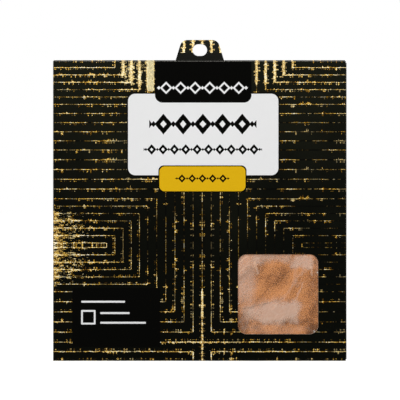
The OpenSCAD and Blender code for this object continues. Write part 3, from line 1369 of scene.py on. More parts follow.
@dataclass
class Envelope:
    """The card blank folded into the pocket: front, spine, walls, back and glue flaps."""

    sizes: PackSizes
    front_print: Material
    back_print: Material
    bare: Material
    mitre_gap: float = 0.05
    front_bow: float = 0.06
    back_bow: float = 0.3
    flat_under_flap: float = 34.0
    bow_fade: float = 20.0
    wear_and_sheen_reach: float = 1.1
    fold_points: int = 7
    edge_rows: tuple[float, float] = (0.35, 0.9)

    def turn(self, run: np.ndarray, straight: float
             ) -> tuple[np.ndarray, np.ndarray, np.ndarray, np.ndarray]:
        """Follows the printed face round two square folds with a wall between them.

        Args:
            run: Lengths along the card from where the first fold starts.
            straight: Flat length of the wall.

        Returns:
            How far each point is out to the side and to the back, and the same for the way it looks.
        """
        r = self.sizes.bend
        quarter = math.pi / 2 * r
        first = np.clip(run, 0, quarter) / r
        wall = np.clip(run - quarter, 0, straight)
        second = np.clip(run - quarter - straight, 0, quarter) / r
        rest = np.maximum(run - 2 * quarter - straight, 0)
        out = r * np.sin(first) - r * (1 - np.cos(second)) - rest + np.minimum(run, 0)
        back = r * (1 - np.cos(first)) + wall + r * np.sin(second)
        angle = first + second
        return out, back, np.sin(angle), np.cos(angle)

    def fold(self, flat: np.ndarray) -> tuple[np.ndarray, np.ndarray]:
        """Folds points of the flat blank.

        Args:
            flat: Points of the blank, in millimetres, as they lie on the front where that is flat.

        Returns:
            Their places on the printed face and the way it looks there.
        """
        size = self.sizes
        x, z = flat[:, 0], flat[:, 1]
        place = np.stack([x, np.full(len(x), size.front), z], axis=1)
        normal = np.tile([0.0, -1.0, 0.0], (len(x), 1))
        for side, depth in ((-1, size.spine_depth), (1, size.side_depth)):
            beyond = side * x > size.flat_half
            out, back, across, facing = self.turn(side * x[beyond] - size.flat_half, depth - 2 * size.bend)
            place[beyond, 0] = side * (size.flat_half + out)
            place[beyond, 1] = size.front + back
            normal[beyond] = np.stack([side * across, -facing, np.zeros(len(out))], axis=1)
        under = (z < size.flat_bottom) & (np.abs(x) < size.flat_half)
        out, back, across, facing = self.turn(size.flat_bottom - z[under], size.side_depth - 2 * size.bend)
        place[under, 2] = size.flat_bottom - out
        place[under, 1] = size.front + back
        normal[under] = np.stack([np.zeros(len(out)), -facing, -across], axis=1)
        self.bow(place, normal)
        return place, normal

    def bow(self, place: np.ndarray, normal: np.ndarray) -> None:
        """Lets the front and back stand out a little in their middles, as full packs do.

        Args:
            place: Places on the printed face, which are moved.
            normal: The way it looks there.
        """
        size = self.sizes
        middle = (size.flat_bottom + size.shell_top) / 2
        half_h = (size.shell_top - size.flat_bottom) / 2
        across = np.clip(1 - (place[:, 0] / size.flat_half) ** 2, 0, 1)
        upright = np.clip(1 - ((place[:, 2] - middle) / half_h) ** 2, 0, 1)
        amount = across * upright
        front = (normal[:, 1] < -SQUARE_ON) & (np.abs(place[:, 1] - size.front) < TOUCHING)
        back = (normal[:, 1] > SQUARE_ON) & (place[:, 1] > size.front + size.spine_depth - TOUCHING)
        place[front, 1] -= self.front_bow * amount[front]
        low = np.clip((size.back_top - self.flat_under_flap - place[:, 2]) / self.bow_fade, 0, 1)
        place[back, 1] += self.back_bow * amount[back] * low[back]

    def place(self, flat: np.ndarray) -> np.ndarray:
        """Places flat points in the artwork, worn and given a painted highlight along the folds.

        Args:
            flat: Points of the blank.

        Returns:
            Artwork coordinates for each point, and its share of worn card and painted fold highlight.
        """
        size = self.sizes
        spot, _ = self.fold(flat)
        half_fold = math.pi / 4 * size.bend
        folds_x = (-size.flat_half - half_fold, size.flat_half + half_fold,
                   -size.flat_half - 3 * half_fold - size.spine_depth + 2 * size.bend)
        folds_z = (size.flat_bottom - half_fold, size.shell_top)
        gaps = [np.abs(flat[:, 0] - x) for x in folds_x] + [np.abs(flat[:, 1] - z) for z in folds_z]
        wear_and_sheen = np.clip(1 - np.min(gaps, axis=0) / self.wear_and_sheen_reach, 0, 1)
        return np.stack([spot[:, 0], flat[:, 1], wear_and_sheen], axis=1)

    def outlines(self) -> tuple[list[Point], list[Point], list[float], list[float]]:
        """Outlines of the flat blank on both sides of the spine's middle, and where its folds need points.

        Returns:
            The front's outline, the back's outline, the places across and the heights.
        """
        size = self.sizes
        quarter = math.pi / 2 * size.bend
        spine = 2 * quarter + size.spine_depth - 2 * size.bend
        wall = 2 * quarter + size.side_depth - 2 * size.bend
        left = -size.flat_half - spine
        right = size.flat_half + wall
        back_end = left - size.flat_half - size.back_right
        low = size.flat_bottom - wall
        mitre = size.glue_flap_w
        cut = size.flat_half - (size.wall_bottom - size.bottom)
        gap = self.mitre_gap
        seam = -size.flat_half - spine / 2
        front = [
            (seam, size.bottom), (-size.flat_half - gap, size.bottom), (-size.flat_half, size.flat_bottom),
            (-size.flat_half + gap, low + quarter), (-cut, low), (-cut + mitre, low - mitre),
            (cut - mitre, low - mitre), (cut, low), (size.flat_half - gap, low + quarter),
            (size.flat_half, size.flat_bottom), (size.flat_half + gap, size.wall_bottom),
            (right, size.wall_bottom), (right + mitre, size.wall_bottom + mitre),
            (right + mitre, size.wall_top - mitre), (right, size.wall_top),
            (size.flat_half, size.wall_top), (size.flat_half, size.shell_top), (seam, size.shell_top),
        ]
        back = [
            (back_end, size.back_bottom), (left, size.back_bottom), (left, size.bottom), (seam, size.bottom),
            (seam, size.shell_top), (left, size.shell_top), (left, size.back_top), (back_end, size.back_top),
        ]
        steps = np.linspace(0, quarter, self.fold_points)
        columns = []
        for start, sign in ((size.flat_half, 1), (size.flat_half + wall - quarter, 1),
                            (-size.flat_half, -1), (-size.flat_half - spine + quarter, -1)):
            columns += [start + sign * s for s in steps]
        columns += [sign * (size.flat_half - d) for sign in (-1, 1) for d in self.edge_rows]
        rows = [size.flat_bottom - s for s in steps] + [low + quarter - s for s in steps]
        rows += [size.flat_bottom + d for d in self.edge_rows] + [size.shell_top - d for d in self.edge_rows]
        return front, back, columns, rows

    def build(self) -> None:
        """Builds the pocket as two pieces that meet in the middle of the spine."""
        front, back, columns, rows = self.outlines()
        for name, outline, holes, printed, nodes in (
                ("envelope_front", front, [round_box(WINDOW)], self.front_print,
                 ("front_panel", "left_spine", "right_wall", "bottom_wall",
                  "side_glue_flap", "bottom_glue_flap")),
                ("envelope_back", back, [], self.back_print, ("back_panel",))):
            sheet = CardSheet(name, outline, holes, columns, rows)
            piece = sheet.build(self.fold, self.place, self.sizes.card, (printed, self.bare))
            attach(piece, "envelope")
            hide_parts(*nodes)
            report(piece)


@dataclass
class HangTab:
    """The tab with its long hole, cut from the top of the card."""

    sizes: PackSizes
    printed: Material
    bare: Material
    width: float = 25.6
    height: float = 11.0
    slope: float = 16.7
    corner: float = 4.0
    lean: float = 5.0
    hole_w: float = 7.7
    hole_h: float = 6.3
    hole_drop: float = 5.4
    points_apart: float = 1.2

    def fold(self, flat: np.ndarray) -> tuple[np.ndarray, np.ndarray]:
        """Stands flat points of the tab up on its crease.

        Args:
            flat: Points of the flat card.

        Returns:
            Their places on the printed face and the way it looks there.
        """
        size = self.sizes
        lean = math.radians(self.lean)
        up = np.array([0.0, math.sin(lean), math.cos(lean)])
        out = np.array([0.0, -math.cos(lean), math.sin(lean)])
        crease = np.array([0.0, size.crease_y, size.crease_z])
        place = crease + out * size.card / 2 + flat[:, :1] * np.array([1.0, 0, 0]) + flat[:, 1:] * up
        return place, np.tile(out, (len(flat), 1))

    def place(self, flat: np.ndarray) -> np.ndarray:
        """Places flat points of the tab in the artwork above the front."""
        wear_and_sheen = np.clip(1 - flat[:, 1] / RUB_AND_SHEEN, 0, 1)
        return np.stack([flat[:, 0], flat[:, 1] + self.sizes.crease_z, wear_and_sheen], axis=1)

    def build(self) -> Object:
        """Builds the tab.

        Returns:
            The piece.
        """
        start = CREASE_HALF
        outline = tapered(self.width, self.height, self.slope, self.corner)
        inset = start * math.tan(math.radians(self.slope))
        outline[0] = (outline[0][0] - inset, start)
        outline[-1] = (outline[-1][0] + inset, start)
        # A hair less than half of the height keeps the hole's round ends apart.
        hole = Block(0.0, self.height - self.hole_drop, self.hole_w, self.hole_h, self.hole_h / 2 - 0.001)
        sheet = CardSheet("printed_hang_tab", outline, [round_box(hole)], rows=(start + FIRST_ROW,),
                          step=self.points_apart)
        piece = sheet.build(self.fold, self.place, self.sizes.card, (self.printed, self.bare))
        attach(piece, "hang_tab")
        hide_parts("hang_tab")
        return report(piece)


@dataclass
class Closure:
    """The card over the top and the flap down the back, with the notch that the tab was cut from."""

    sizes: PackSizes
    tab: HangTab
    printed: Material
    bare: Material
    flap_w: float = 153.0
    flap_len: float = 30.0
    slope: float = 8.0
    corner: float = 6.0
    kerf: float = 0.2
    lip_from: float = 12.0
    lip_run: float = 18.0
    lip_lift: float = 0.04
    fold_points_apart: float = 1.0
    flap_points_apart: float = 2.5

    @property
    def fold_len(self) -> float:
        """Distance between the two top creases."""
        return self.sizes.flap_crease_y - self.sizes.crease_y

    def notch_at(self, distance: float) -> float:
        """Half of the notch's width at a distance from the first crease."""
        lean = math.radians(self.tab.slope)
        return self.tab.width / 2 + self.kerf / math.cos(lean) - distance * math.tan(lean)

    def place(self, flat: np.ndarray) -> np.ndarray:
        """Places flat points in the artwork. Their second value is the distance from the first crease.

        Args:
            flat: Points of the flat card.

        Returns:
            Artwork coordinates for each point, and its share of worn card and painted fold highlight.
        """
        near = np.minimum(flat[:, 1], np.abs(flat[:, 1] - self.fold_len))
        wear_and_sheen = np.clip(1 - near / RUB_AND_SHEEN, 0, 1)
        return np.stack([flat[:, 0], self.sizes.crease_z + flat[:, 1], wear_and_sheen], axis=1)

    def over_top(self, flat: np.ndarray) -> tuple[np.ndarray, np.ndarray]:
        """Lays flat points on the top.

        Args:
            flat: Points of the flat card.

        Returns:
            Their places on the printed face and the way it looks there.
        """
        size = self.sizes
        place = np.stack([flat[:, 0], size.crease_y + flat[:, 1], np.full(len(flat), size.top)], axis=1)
        return place, np.tile([0.0, 0.0, 1.0], (len(flat), 1))

    def down_back(self, flat: np.ndarray) -> tuple[np.ndarray, np.ndarray]:
        """Lays flat points on the back, where the flap's lower edge stands off a little.

        Args:
            flat: Points of the flat card.

        Returns:
            Their places on the printed face and the way it looks there.
        """
        size = self.sizes
        down = flat[:, 1] - self.fold_len
        lifted = self.lip_lift * np.clip((down - self.lip_from) / self.lip_run, 0, 1) ** 2
        place = np.stack([flat[:, 0], size.flap_face + lifted, size.crease_z - down], axis=1)
        return place, np.tile([0.0, 1.0, 0.0], (len(flat), 1))

    def build_fold(self, name: str, node: str, side: int) -> Object:
        """Builds the card over the top on one side of the tab.

        Args:
            name: Name of the piece.
            node: Node that it stands for.
            side: -1 for the left and 1 for the right.

        Returns:
            The piece.
        """
        size = self.sizes
        end = size.fold_left if side < 0 else size.fold_right
        near, far = CREASE_HALF, self.fold_len - CREASE_HALF
        outline = [(end, near), (side * self.notch_at(near), near),
                   (side * self.notch_at(far), far), (end, far)]
        if side > 0:
            outline.reverse()
        sheet = CardSheet(name, outline, step=self.fold_points_apart)
        piece = sheet.build(self.over_top, self.place, size.card, (self.printed, self.bare))
        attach(piece, "top_fold")
        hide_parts(node)
        return report(piece)

    def build_flap(self) -> Object:
        """Builds the flap down the back.

        Returns:
            The piece.
        """
        start = self.fold_len + CREASE_HALF
        outer = tapered(self.flap_w, self.flap_len, self.slope, self.corner)
        outer = [(x, z + self.fold_len) for x, z in outer]
        outer[0] = (outer[0][0], start)
        outer[-1] = (outer[-1][0], start)
        notch = tapered(self.tab.width, self.tab.height, self.tab.slope, self.tab.corner, self.kerf)
        notch = [spot for spot in notch if spot[1] > start]
        mouth = self.notch_at(start)
        outline = [*outer, (-mouth, start), *reversed(notch), (mouth, start)]
        sheet = CardSheet("printed_closure_flap", outline, rows=(start + FIRST_ROW,),
                          step=self.flap_points_apart)
        piece = sheet.build(self.down_back, self.place, self.sizes.card, (self.printed, self.bare))
        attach(piece, "closure_flap")
        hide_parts("closure_flap")
        return report(piece)


@dataclass(frozen=True)
class CreaseLine:
    """A crease between two bodies. Its places and directions are pairs of depth and height."""

    bodies: tuple[str, str]
    axis: Point
    ahead: Point
    out: Point
    bend: float
    artwork_z: float


@dataclass
class Creases:
    """Strips of card bent round the creases."""

    sizes: PackSizes
    bare: Material
    half: float = CREASE_HALF
    steps: int = 8
    points_apart: float = 3.0
    # Share of worn card and painted fold highlight on every strip
    wear_and_sheen: float = 0.5

    def profile(self, line: CreaseLine) -> tuple[list[np.ndarray], list[float]]:
        """Outline of a strip's cross-section.

        Args:
            line: The crease.

        Returns:
            The outline's points, with each one's distance along the card from the crease.
        """
        axis, ahead, out = np.array(line.axis), np.array(line.ahead), np.array(line.out)
        radius, turn = self.sizes.card / 2, math.radians(line.bend)
        later = ahead * math.cos(turn) - out * math.sin(turn)
        later_out = out * math.cos(turn) + ahead * math.sin(turn)
        mitre = radius * math.tan(turn / 2)
        points = [axis + out * radius - ahead * self.half]
        runs = [-self.half]
        for angle in np.linspace(0, turn, self.steps):
            points.append(axis + radius * (out * math.cos(angle) + ahead * math.sin(angle)))
            runs.append(radius * (angle - turn / 2))
        points += [
            axis + later_out * radius + later * self.half, axis - later_out * radius + later * self.half,
            axis - out * radius - ahead * mitre, axis - out * radius - ahead * self.half,
        ]
        runs += [self.half, self.half, 0.0, -self.half]
        return points, runs

    def build(self, name: str, line: CreaseLine, ends: Point,
              printed: Material) -> Object:
        """Builds one strip.

        Args:
            name: Name of the piece.
            line: The crease.
            ends: Where the strip starts and ends across.
            printed: Material of its printed face.

        Returns:
            The piece.
        """
        outline, runs = self.profile(line)
        count = len(outline)
        columns = max(2, math.ceil(abs(ends[1] - ends[0]) / self.points_apart))
        across = np.linspace(ends[0], ends[1], columns)
        points = [(x, y, z) for x in across for y, z in outline]
        artwork = [(x, line.artwork_z + run, self.wear_and_sheen) for x in across for run in runs]
        faces, slots = [], []
        for row in range(len(across) - 1):
            for i in range(count):
                a, b = row * count + i, row * count + (i + 1) % count
                faces.append((a, b, b + count, a + count))
                slots.append(0 if i <= self.steps else 1)
        last = (len(across) - 1) * count
        faces += [tuple(range(count)), tuple(last + i for i in range(count))]
        slots += [1, 1]
        piece = card_piece(name, np.array(points), faces, (printed, self.bare), slots, np.array(artwork))
        turn = math.radians(line.bend) / 2
        middle = np.array(line.ahead) * math.cos(turn) - np.array(line.out) * math.sin(turn)
        reach = self.half * math.cos(turn) - self.sizes.card / 2 * math.sin(turn)
        centre = np.array(line.axis)
        start, end = (centre - middle * reach) * MM, (centre + middle * reach) * MM
        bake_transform(piece)
        return report(piece)

    def build_all(self, tab: HangTab, closure: Closure) -> None:
        """Builds the crease of the tab and the four stretches beside it on the two top creases.

        Args:
            tab: The hang tab.
            closure: The card over the top and the flap.
        """
        size = self.sizes
        first, second = (size.crease_y, size.crease_z), (size.flap_crease_y, size.crease_z)
        up, back, forward = (0.0, 1.0), (1.0, 0.0), (-1.0, 0.0)
        tab_line = CreaseLine(("envelope", "hang_tab"), first, up, forward, tab.lean, size.crease_z)
        top_line = CreaseLine(("envelope", "top_fold"), first, up, forward, 90.0, size.crease_z)
        flap_line = CreaseLine(("top_fold", "closure_flap"), second, back, up, 90.0,
                               size.crease_z + closure.fold_len)
        self.build("tab_crease", tab_line, (-tab.width / 2, tab.width / 2), tab.printed)
        near, far = closure.notch_at(0.0), closure.notch_at(closure.fold_len)
        spans = {"left": ((-size.flat_half, -near), (-closure.flap_w / 2, -far)),
                 "right": ((near, size.fold_right), (far, closure.flap_w / 2))}
        for side, (top_span, flap_span) in spans.items():
            self.build(f"{side}_top_crease", top_line, top_span, closure.printed)
            self.build(f"{side}_flap_crease", flap_line, flap_span, closure.printed)


class Growth:
    """A Geometry Nodes tree under construction, with named inputs."""

    def __init__(self, name: str) -> None:
        """Starts an empty tree.

        Args:
            name: Name of the tree.
        """
        self.tree = bpy.data.node_groups.new(name, "GeometryNodeTree")
        for way in ("INPUT", "OUTPUT"):
            self.tree.interface.new_socket("Geometry", in_out=way, socket_type="NodeSocketGeometry")
        self.source = self.tree.nodes.new("NodeGroupInput")
        self.target = self.tree.nodes.new("NodeGroupOutput")

    def ask(self, name: str, kind: str = "Float") -> NodeSocket:
        """Adds a named input and returns its socket inside the tree."""
        self.tree.interface.new_socket(name, in_out="INPUT", socket_type=f"NodeSocket{kind}")
        return self.source.outputs[name]

    def number(self, name: str) -> Term:
        """Adds a named number."""
        return Term(self.tree, self.ask(name))

    def node(self, kind: str, values: dict[str, object], **settings: object) -> Node:
        """Adds a node.

        Args:
            kind: Its type.
            values: What goes into its inputs, by their names.
            settings: Its own settings.

        Returns:
            The node.
        """
        node = self.tree.nodes.new(kind)
        for key, setting in settings.items():
            setattr(node, key, setting)
        for key, value in values.items():
            join(self.tree, value, node.inputs[key])
        return node

    def end(self, shape: NodeSocket) -> None:
        """Scales the shape from millimetres, makes it real and gives it its material.

        Args:
            shape: The finished shape, in millimetres.
        """
        scaled = self.node("GeometryNodeTransform", {"Geometry": shape, "Scale": (MM, MM, MM)})
        real = self.node("GeometryNodeRealizeInstances", {"Geometry": scaled.outputs[0]})
        look = self.ask("Material", "Material")
        dressed = self.node("GeometryNodeSetMaterial", {"Geometry": real.outputs[0], "Material": look})
        self.tree.links.new(dressed.outputs[0], self.target.inputs[0])

    def grow(self, name: str, start: Mesh, values: dict[str, object]) -> Mesh:
        """Runs the tree.

        Args:
            name: Name of the mesh to make.
            start: Mesh that goes into the tree.
            values: The inputs, by their names.

        Returns:
            The result as a plain mesh.
        """
        holder = linked(f"{name} start", start)
        growth = holder.modifiers.new("growth", "NODES")
        growth.node_group = self.tree
        for item in self.tree.interface.items_tree:
            if item.in_out == "INPUT" and item.name in values:
                growth[item.identifier] = values[item.name]
        graph = bpy.context.evaluated_depsgraph_get()
        mesh = bpy.data.meshes.new_from_object(holder.evaluated_get(graph), preserve_all_data_layers=True,
                                               depsgraph=graph)
        mesh.name = name
        holder.modifiers.remove(growth)
        bpy.data.objects.remove(holder)
        return mesh


@dataclass
class LeafStack:
    """The leaves with tissue before, between and behind them, all made by one tree."""

    leaf: Material
    tissue: Material
    bow: float = 0.35
    free_x: tuple[float, float, float, float] = (-71.0, -40.0, 38.0, 64.0)
    free_z: tuple[float, float, float, float] = (-151.0, -126.0, -50.0, -22.0)
    ripple: float = 0.2
    lift: float = 0.15
    warp: float = 7.0
    warps_to_mm: float = 0.16
    ridge_part: float = 0.7
    held_part: float = 0.35
    ridge_families: tuple[tuple[float, float, float, float], ...] = (
        (50.0, 0.16, 11.0, 0.8), (62.0, 0.25, 14.0, 0.6), (84.0, 0.08, 20.0, 0.9))
    ridge_stretch: float = 0.22
    ridge_power: float = 1.5
    coarse_steps: int = 56
    fine_steps: int = 150
    closeness: float = 5.0
    seed: float = 11.0
    close_up: float = 46.0
    raised: tuple[Patch, ...] = (
        Patch(21.0, -118.5, 8.0, 14.5, 4.5, 0.64),
        Patch(30.0, -109.6, 3.6, 3.4, 3.0, 1.0),
        Patch(34.0, -107.4, 14.6, 4.6, 2.4, 0.56),
        Patch(54.4, -112.2, 5.6, 3.6, 2.3, 0.9),
        Patch(34.0, -137.8, 11.0, 4.6, 4.5, 0.95, 4.0),
        Patch(42.4, -138.4, 10.2, 4.8, 3.8, 1.4, 2.0),
        Patch(39.0, -148.4, 14.0, 1.4, 2.0, 0.2),
    )

    def spread(self, share: Term, start: Term, end: Term, closeness: Term) -> Term:
        """Moves evenly spaced lines so that they lie closer together between two places.

        Args:
            share: Even places from 0 to 1.
            start: Where the close lines start, as a share of the side.
            end: Where they end.
            closeness: How many times closer they lie.

        Returns:
            The new places from 0 to 1.
        """
        wide = end - start
        total = 1.0 - wide + wide * closeness
        first = start / total
        second = first + wide * closeness / total
        middle = (share - first).most(0.0).least(second - first)
        return total * share.least(first) + total / closeness * middle + total * (share - second).most(0.0)

    def ridges(self, tree: NodeTree, x: Term, z: Term, seed: Term) -> Term:
        """Sharp folds of the paper, from 0 to 1.

        Args:
            tree: The node tree.
            x: Place across.
            z: Height.
            seed: Another number gives other folds.

        Returns:
            The height of the strongest fold at each place.
        """
        total = Term.lift(tree, 0.0)
        for turn, close, thin, strong in self.ridge_families:
            along, across = turned(x, z, turn)
            level = noise(tree, along * (close * self.ridge_stretch), across * close, seed + turn, 1.0)
            fold = (1.0 - abs(level - 0.5) * thin).most(0.0).math("POWER", self.ridge_power)
            total = total.most(fold * strong)
        return total

    def tree(self) -> Growth:
        """Builds the tree of one sheet, which bows back where it is free and ripples forwards.

        Returns:
            The tree.
        """
        growth = Growth("rippled sheet")
        tree = growth.tree
        side, thick, depth, bottom = (growth.number(n) for n in ("Side", "Thickness", "Depth", "Bottom"))
        bow, ripple, lift, seed = (growth.number(n) for n in ("Bow", "Ripple", "Lift", "Seed"))
        steps, closeness = growth.ask("Lines", "Int"), growth.number("Closeness")
        starts = [growth.number(n) for n in ("Close From X", "Close To X", "Close From Z", "Close To Z")]
        grid = growth.node("GeometryNodeMeshGrid", {"Size X": 1.0, "Size Y": 1.0, "Vertices X": steps,
                                                    "Vertices Y": steps})
        even_x, even_z, _ = parts_of(tree, growth.node("GeometryNodeInputPosition", {}).outputs[0])
        x = (self.spread(even_x + 0.5, starts[0], starts[1], closeness) - 0.5) * side
        z = self.spread(even_z + 0.5, starts[2], starts[3], closeness) * side + bottom
        left, from_left, from_right, right = self.free_x
        low, from_low, from_high, high = self.free_z
        free = x.rise(right, from_right) * x.rise(left, from_left)
        free = free * z.rise(low, from_low) * z.rise(high, from_high)
        fine_x, fine_z = x * self.warps_to_mm, z * self.warps_to_mm
        warp_x = x + (noise(tree, fine_x, fine_z, seed + 20.0, 2.0) - 0.5) * self.warp
        warp_z = z + (noise(tree, fine_x, fine_z, seed + 40.0, 2.0) - 0.5) * self.warp
        raised = patchwork(tree, warp_x, warp_z, self.raised) * lift
        soft = noise(tree, x * 0.05, z * 0.07, seed + 60.0, 1.0)
        ridge = self.ridges(tree, x, z, seed)
        forward = (ridge * self.ridge_part + soft * (1 - self.ridge_part)) * ripple + raised
        y = depth + free * bow - forward * (self.held_part + free * (1 - self.held_part))
        shape = grid.outputs["Mesh"]
        for name, value in ((LIFT, raised * (1 / self.lift)), (RIDGE, ridge)):
            stored = growth.node("GeometryNodeStoreNamedAttribute",
                                 {"Geometry": shape, "Name": name, "Value": value},
                                 data_type="FLOAT", domain="POINT")
            shape = stored.outputs[0]
        spot = point_of(tree, x, y, z)
        front = growth.node("GeometryNodeSetPosition", {"Geometry": shape, "Position": spot})
        back = growth.node("GeometryNodeExtrudeMesh",
                           {"Mesh": front.outputs[0], "Offset": (0.0, 1.0, 0.0),
                            "Offset Scale": thick, "Individual": False}, mode="FACES")
        flipped = growth.node("GeometryNodeFlipFaces", {"Mesh": front.outputs[0]})
        both = growth.node("GeometryNodeJoinGeometry", {})
        for part in (back, flipped):
            tree.links.new(part.outputs[0], both.inputs[0])
        closed = growth.node("GeometryNodeMergeByDistance", {"Geometry": both.outputs[0], "Distance": 0.001})
        growth.end(closed.outputs[0])
        return growth

    def build(self) -> None:
        """Builds every leaf and tissue."""
        growth = self.tree()
        nodes = sorted(n for n in frame["nodes"] if n.startswith(("metal_leaf_", "tissue_sheet_")))
        for node in nodes:
            low, high = (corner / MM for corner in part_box(node))
            side, top, tissue = high.x - low.x, node.endswith("_1"), node.startswith("tissue")
            reach = self.close_up / 2
            start = bpy.data.meshes.new("start")
            start.from_pydata([(0.0, 0.0, 0.0)], [], [])
            mesh = growth.grow(f"loose_{node}", start, {
                "Side": side, "Thickness": high.y - low.y, "Depth": low.y, "Bottom": low.z,
                "Bow": self.bow, "Ripple": self.ripple if top else 0.0,
                "Lift": self.lift if top and tissue else 0.0, "Seed": self.seed,
                "Lines": self.fine_steps if top else self.coarse_steps,
                "Closeness": self.closeness if top else 1.0,
                "Close From X": (WINDOW.x - reach - low.x) / side,
                "Close To X": (WINDOW.x + reach - low.x) / side,
                "Close From Z": (WINDOW.z - reach - low.z) / side,
                "Close To Z": (WINDOW.z + reach - low.z) / side,
                "Material": self.tissue if tissue else self.leaf})
            piece = finished(f"loose_{node}", mesh)
            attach(piece, "leaf_stack")
            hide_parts(node)
            report(piece)


@dataclass
class WindowNicks:
    """Torn white fibres where the die left the window's edge rough."""

    sizes: PackSizes
    bare: Material
    places: tuple[tuple[float, float, float], ...] = (
        (20.15, -133.8, 20.0), (62.4, -117.5, 170.0), (60.7, -148.7, 120.0))
    count: int = 26
    length: float = 0.95
    thickness: float = 0.05
    root_depth: float = 0.02
    scatter: tuple[float, float, float] = (0.3, 0.2, 0.4)
    shortest: float = 0.35
    fan: float = 0.9
    droop: float = 0.03
    curl: float = 0.3
    root_width: float = 1.15
    points_along: int = 6
    sides: int = 5
    smooth_angle: float = 60.0
    seed: int = 4

    def tree(self) -> Growth:
        """Builds the tree: bent tapering fibres in a fan at each place.

        Returns:
            The tree.
        """
        growth = Growth("torn fibres")
        tree = growth.tree
        count, seed = growth.ask("Count", "Int"), growth.ask("Seed", "Int")
        length, thick = growth.number("Length"), growth.number("Thickness")
        many = growth.node("GeometryNodeDuplicateElements",
                           {"Geometry": growth.source.outputs[0], "Amount": count}, domain="POINT")

        def spread(low: float, high: float, offset: int) -> Term:
            """A random number for each fibre.

            Args:
                low: The least.
                high: The most.
                offset: Another number gives other draws.

            Returns:
                The number.
            """
            key = growth.node("ShaderNodeMath", {}, operation="ADD")
            tree.links.new(seed, key.inputs[0])
            key.inputs[1].default_value = offset
            whole = growth.node("FunctionNodeFloatToInt", {"Float": key.outputs[0]})
            node = growth.node("FunctionNodeRandomValue", {"Seed": whole.outputs[0]}, data_type="FLOAT")
            node.inputs[2].default_value = low
            node.inputs[3].default_value = high
            return Term(tree, node.outputs[1])

        wide, deep, high = self.scatter
        offset = point_of(tree, spread(-wide, wide, 1), spread(0.0, deep, 2), spread(-high, high, 3))
        roots = growth.node("GeometryNodeSetPosition", {"Geometry": many.outputs[0], "Offset": offset})
        line = growth.node("GeometryNodeCurvePrimitiveLine",
                           {"Start": (0.0, 0.0, 0.0), "End": (1.0, 0.0, 0.0)})
        fine = growth.node("GeometryNodeResampleCurve",
                           {"Curve": line.outputs[0], "Count": self.points_along})
        reach = parts_of(tree, growth.node("GeometryNodeInputPosition", {}).outputs[0])[0]
        curl = point_of(tree, 0.0, reach * reach * -self.droop, reach * reach * self.curl)
        bent = growth.node("GeometryNodeSetPosition", {"Geometry": fine.outputs[0], "Offset": curl})
        ring = growth.node("GeometryNodeCurvePrimitiveCircle", {"Resolution": self.sides, "Radius": 1.0})
        tube = growth.node("GeometryNodeCurveToMesh", {
            "Curve": bent.outputs[0], "Profile Curve": ring.outputs[0],
            "Scale": (self.root_width - reach) * thick, "Fill Caps": True})
        facing = growth.node("GeometryNodeInputNamedAttribute", {"Name": FACING}, data_type="FLOAT")
        angle = Term(tree, facing.outputs[0]) + spread(-self.fan, self.fan, 4)
        size = length * spread(self.shortest, 1.0, 5)
        fan = growth.node("GeometryNodeInstanceOnPoints", {
            "Points": roots.outputs[0], "Instance": tube.outputs[0],
            "Rotation": point_of(tree, 0.0, -1.0 * angle, 0.0), "Scale": point_of(tree, size, 1.0, size)})
        growth.end(fan.outputs[0])
        return growth

    def build(self) -> Object:
        """Builds all tufts as one piece.

        Returns:
            The piece.
        """
        start = bpy.data.meshes.new("tuft places")
        depth = self.sizes.front + self.root_depth
        start.from_pydata([(x, depth, z) for x, z, _ in self.places], [], [])
        facing = start.attributes.new(FACING, "FLOAT", "POINT")
        facing.data.foreach_set("value", [math.radians(turn) for _, _, turn in self.places])
        mesh = self.tree().grow("window_nicks", start, {
            "Count": self.count, "Seed": self.seed, "Length": self.length, "Thickness": self.thickness,
            "Material": self.bare})
        piece = finished("window_nicks", mesh, self.smooth_angle)
        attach(piece, "envelope")
        return report(piece)


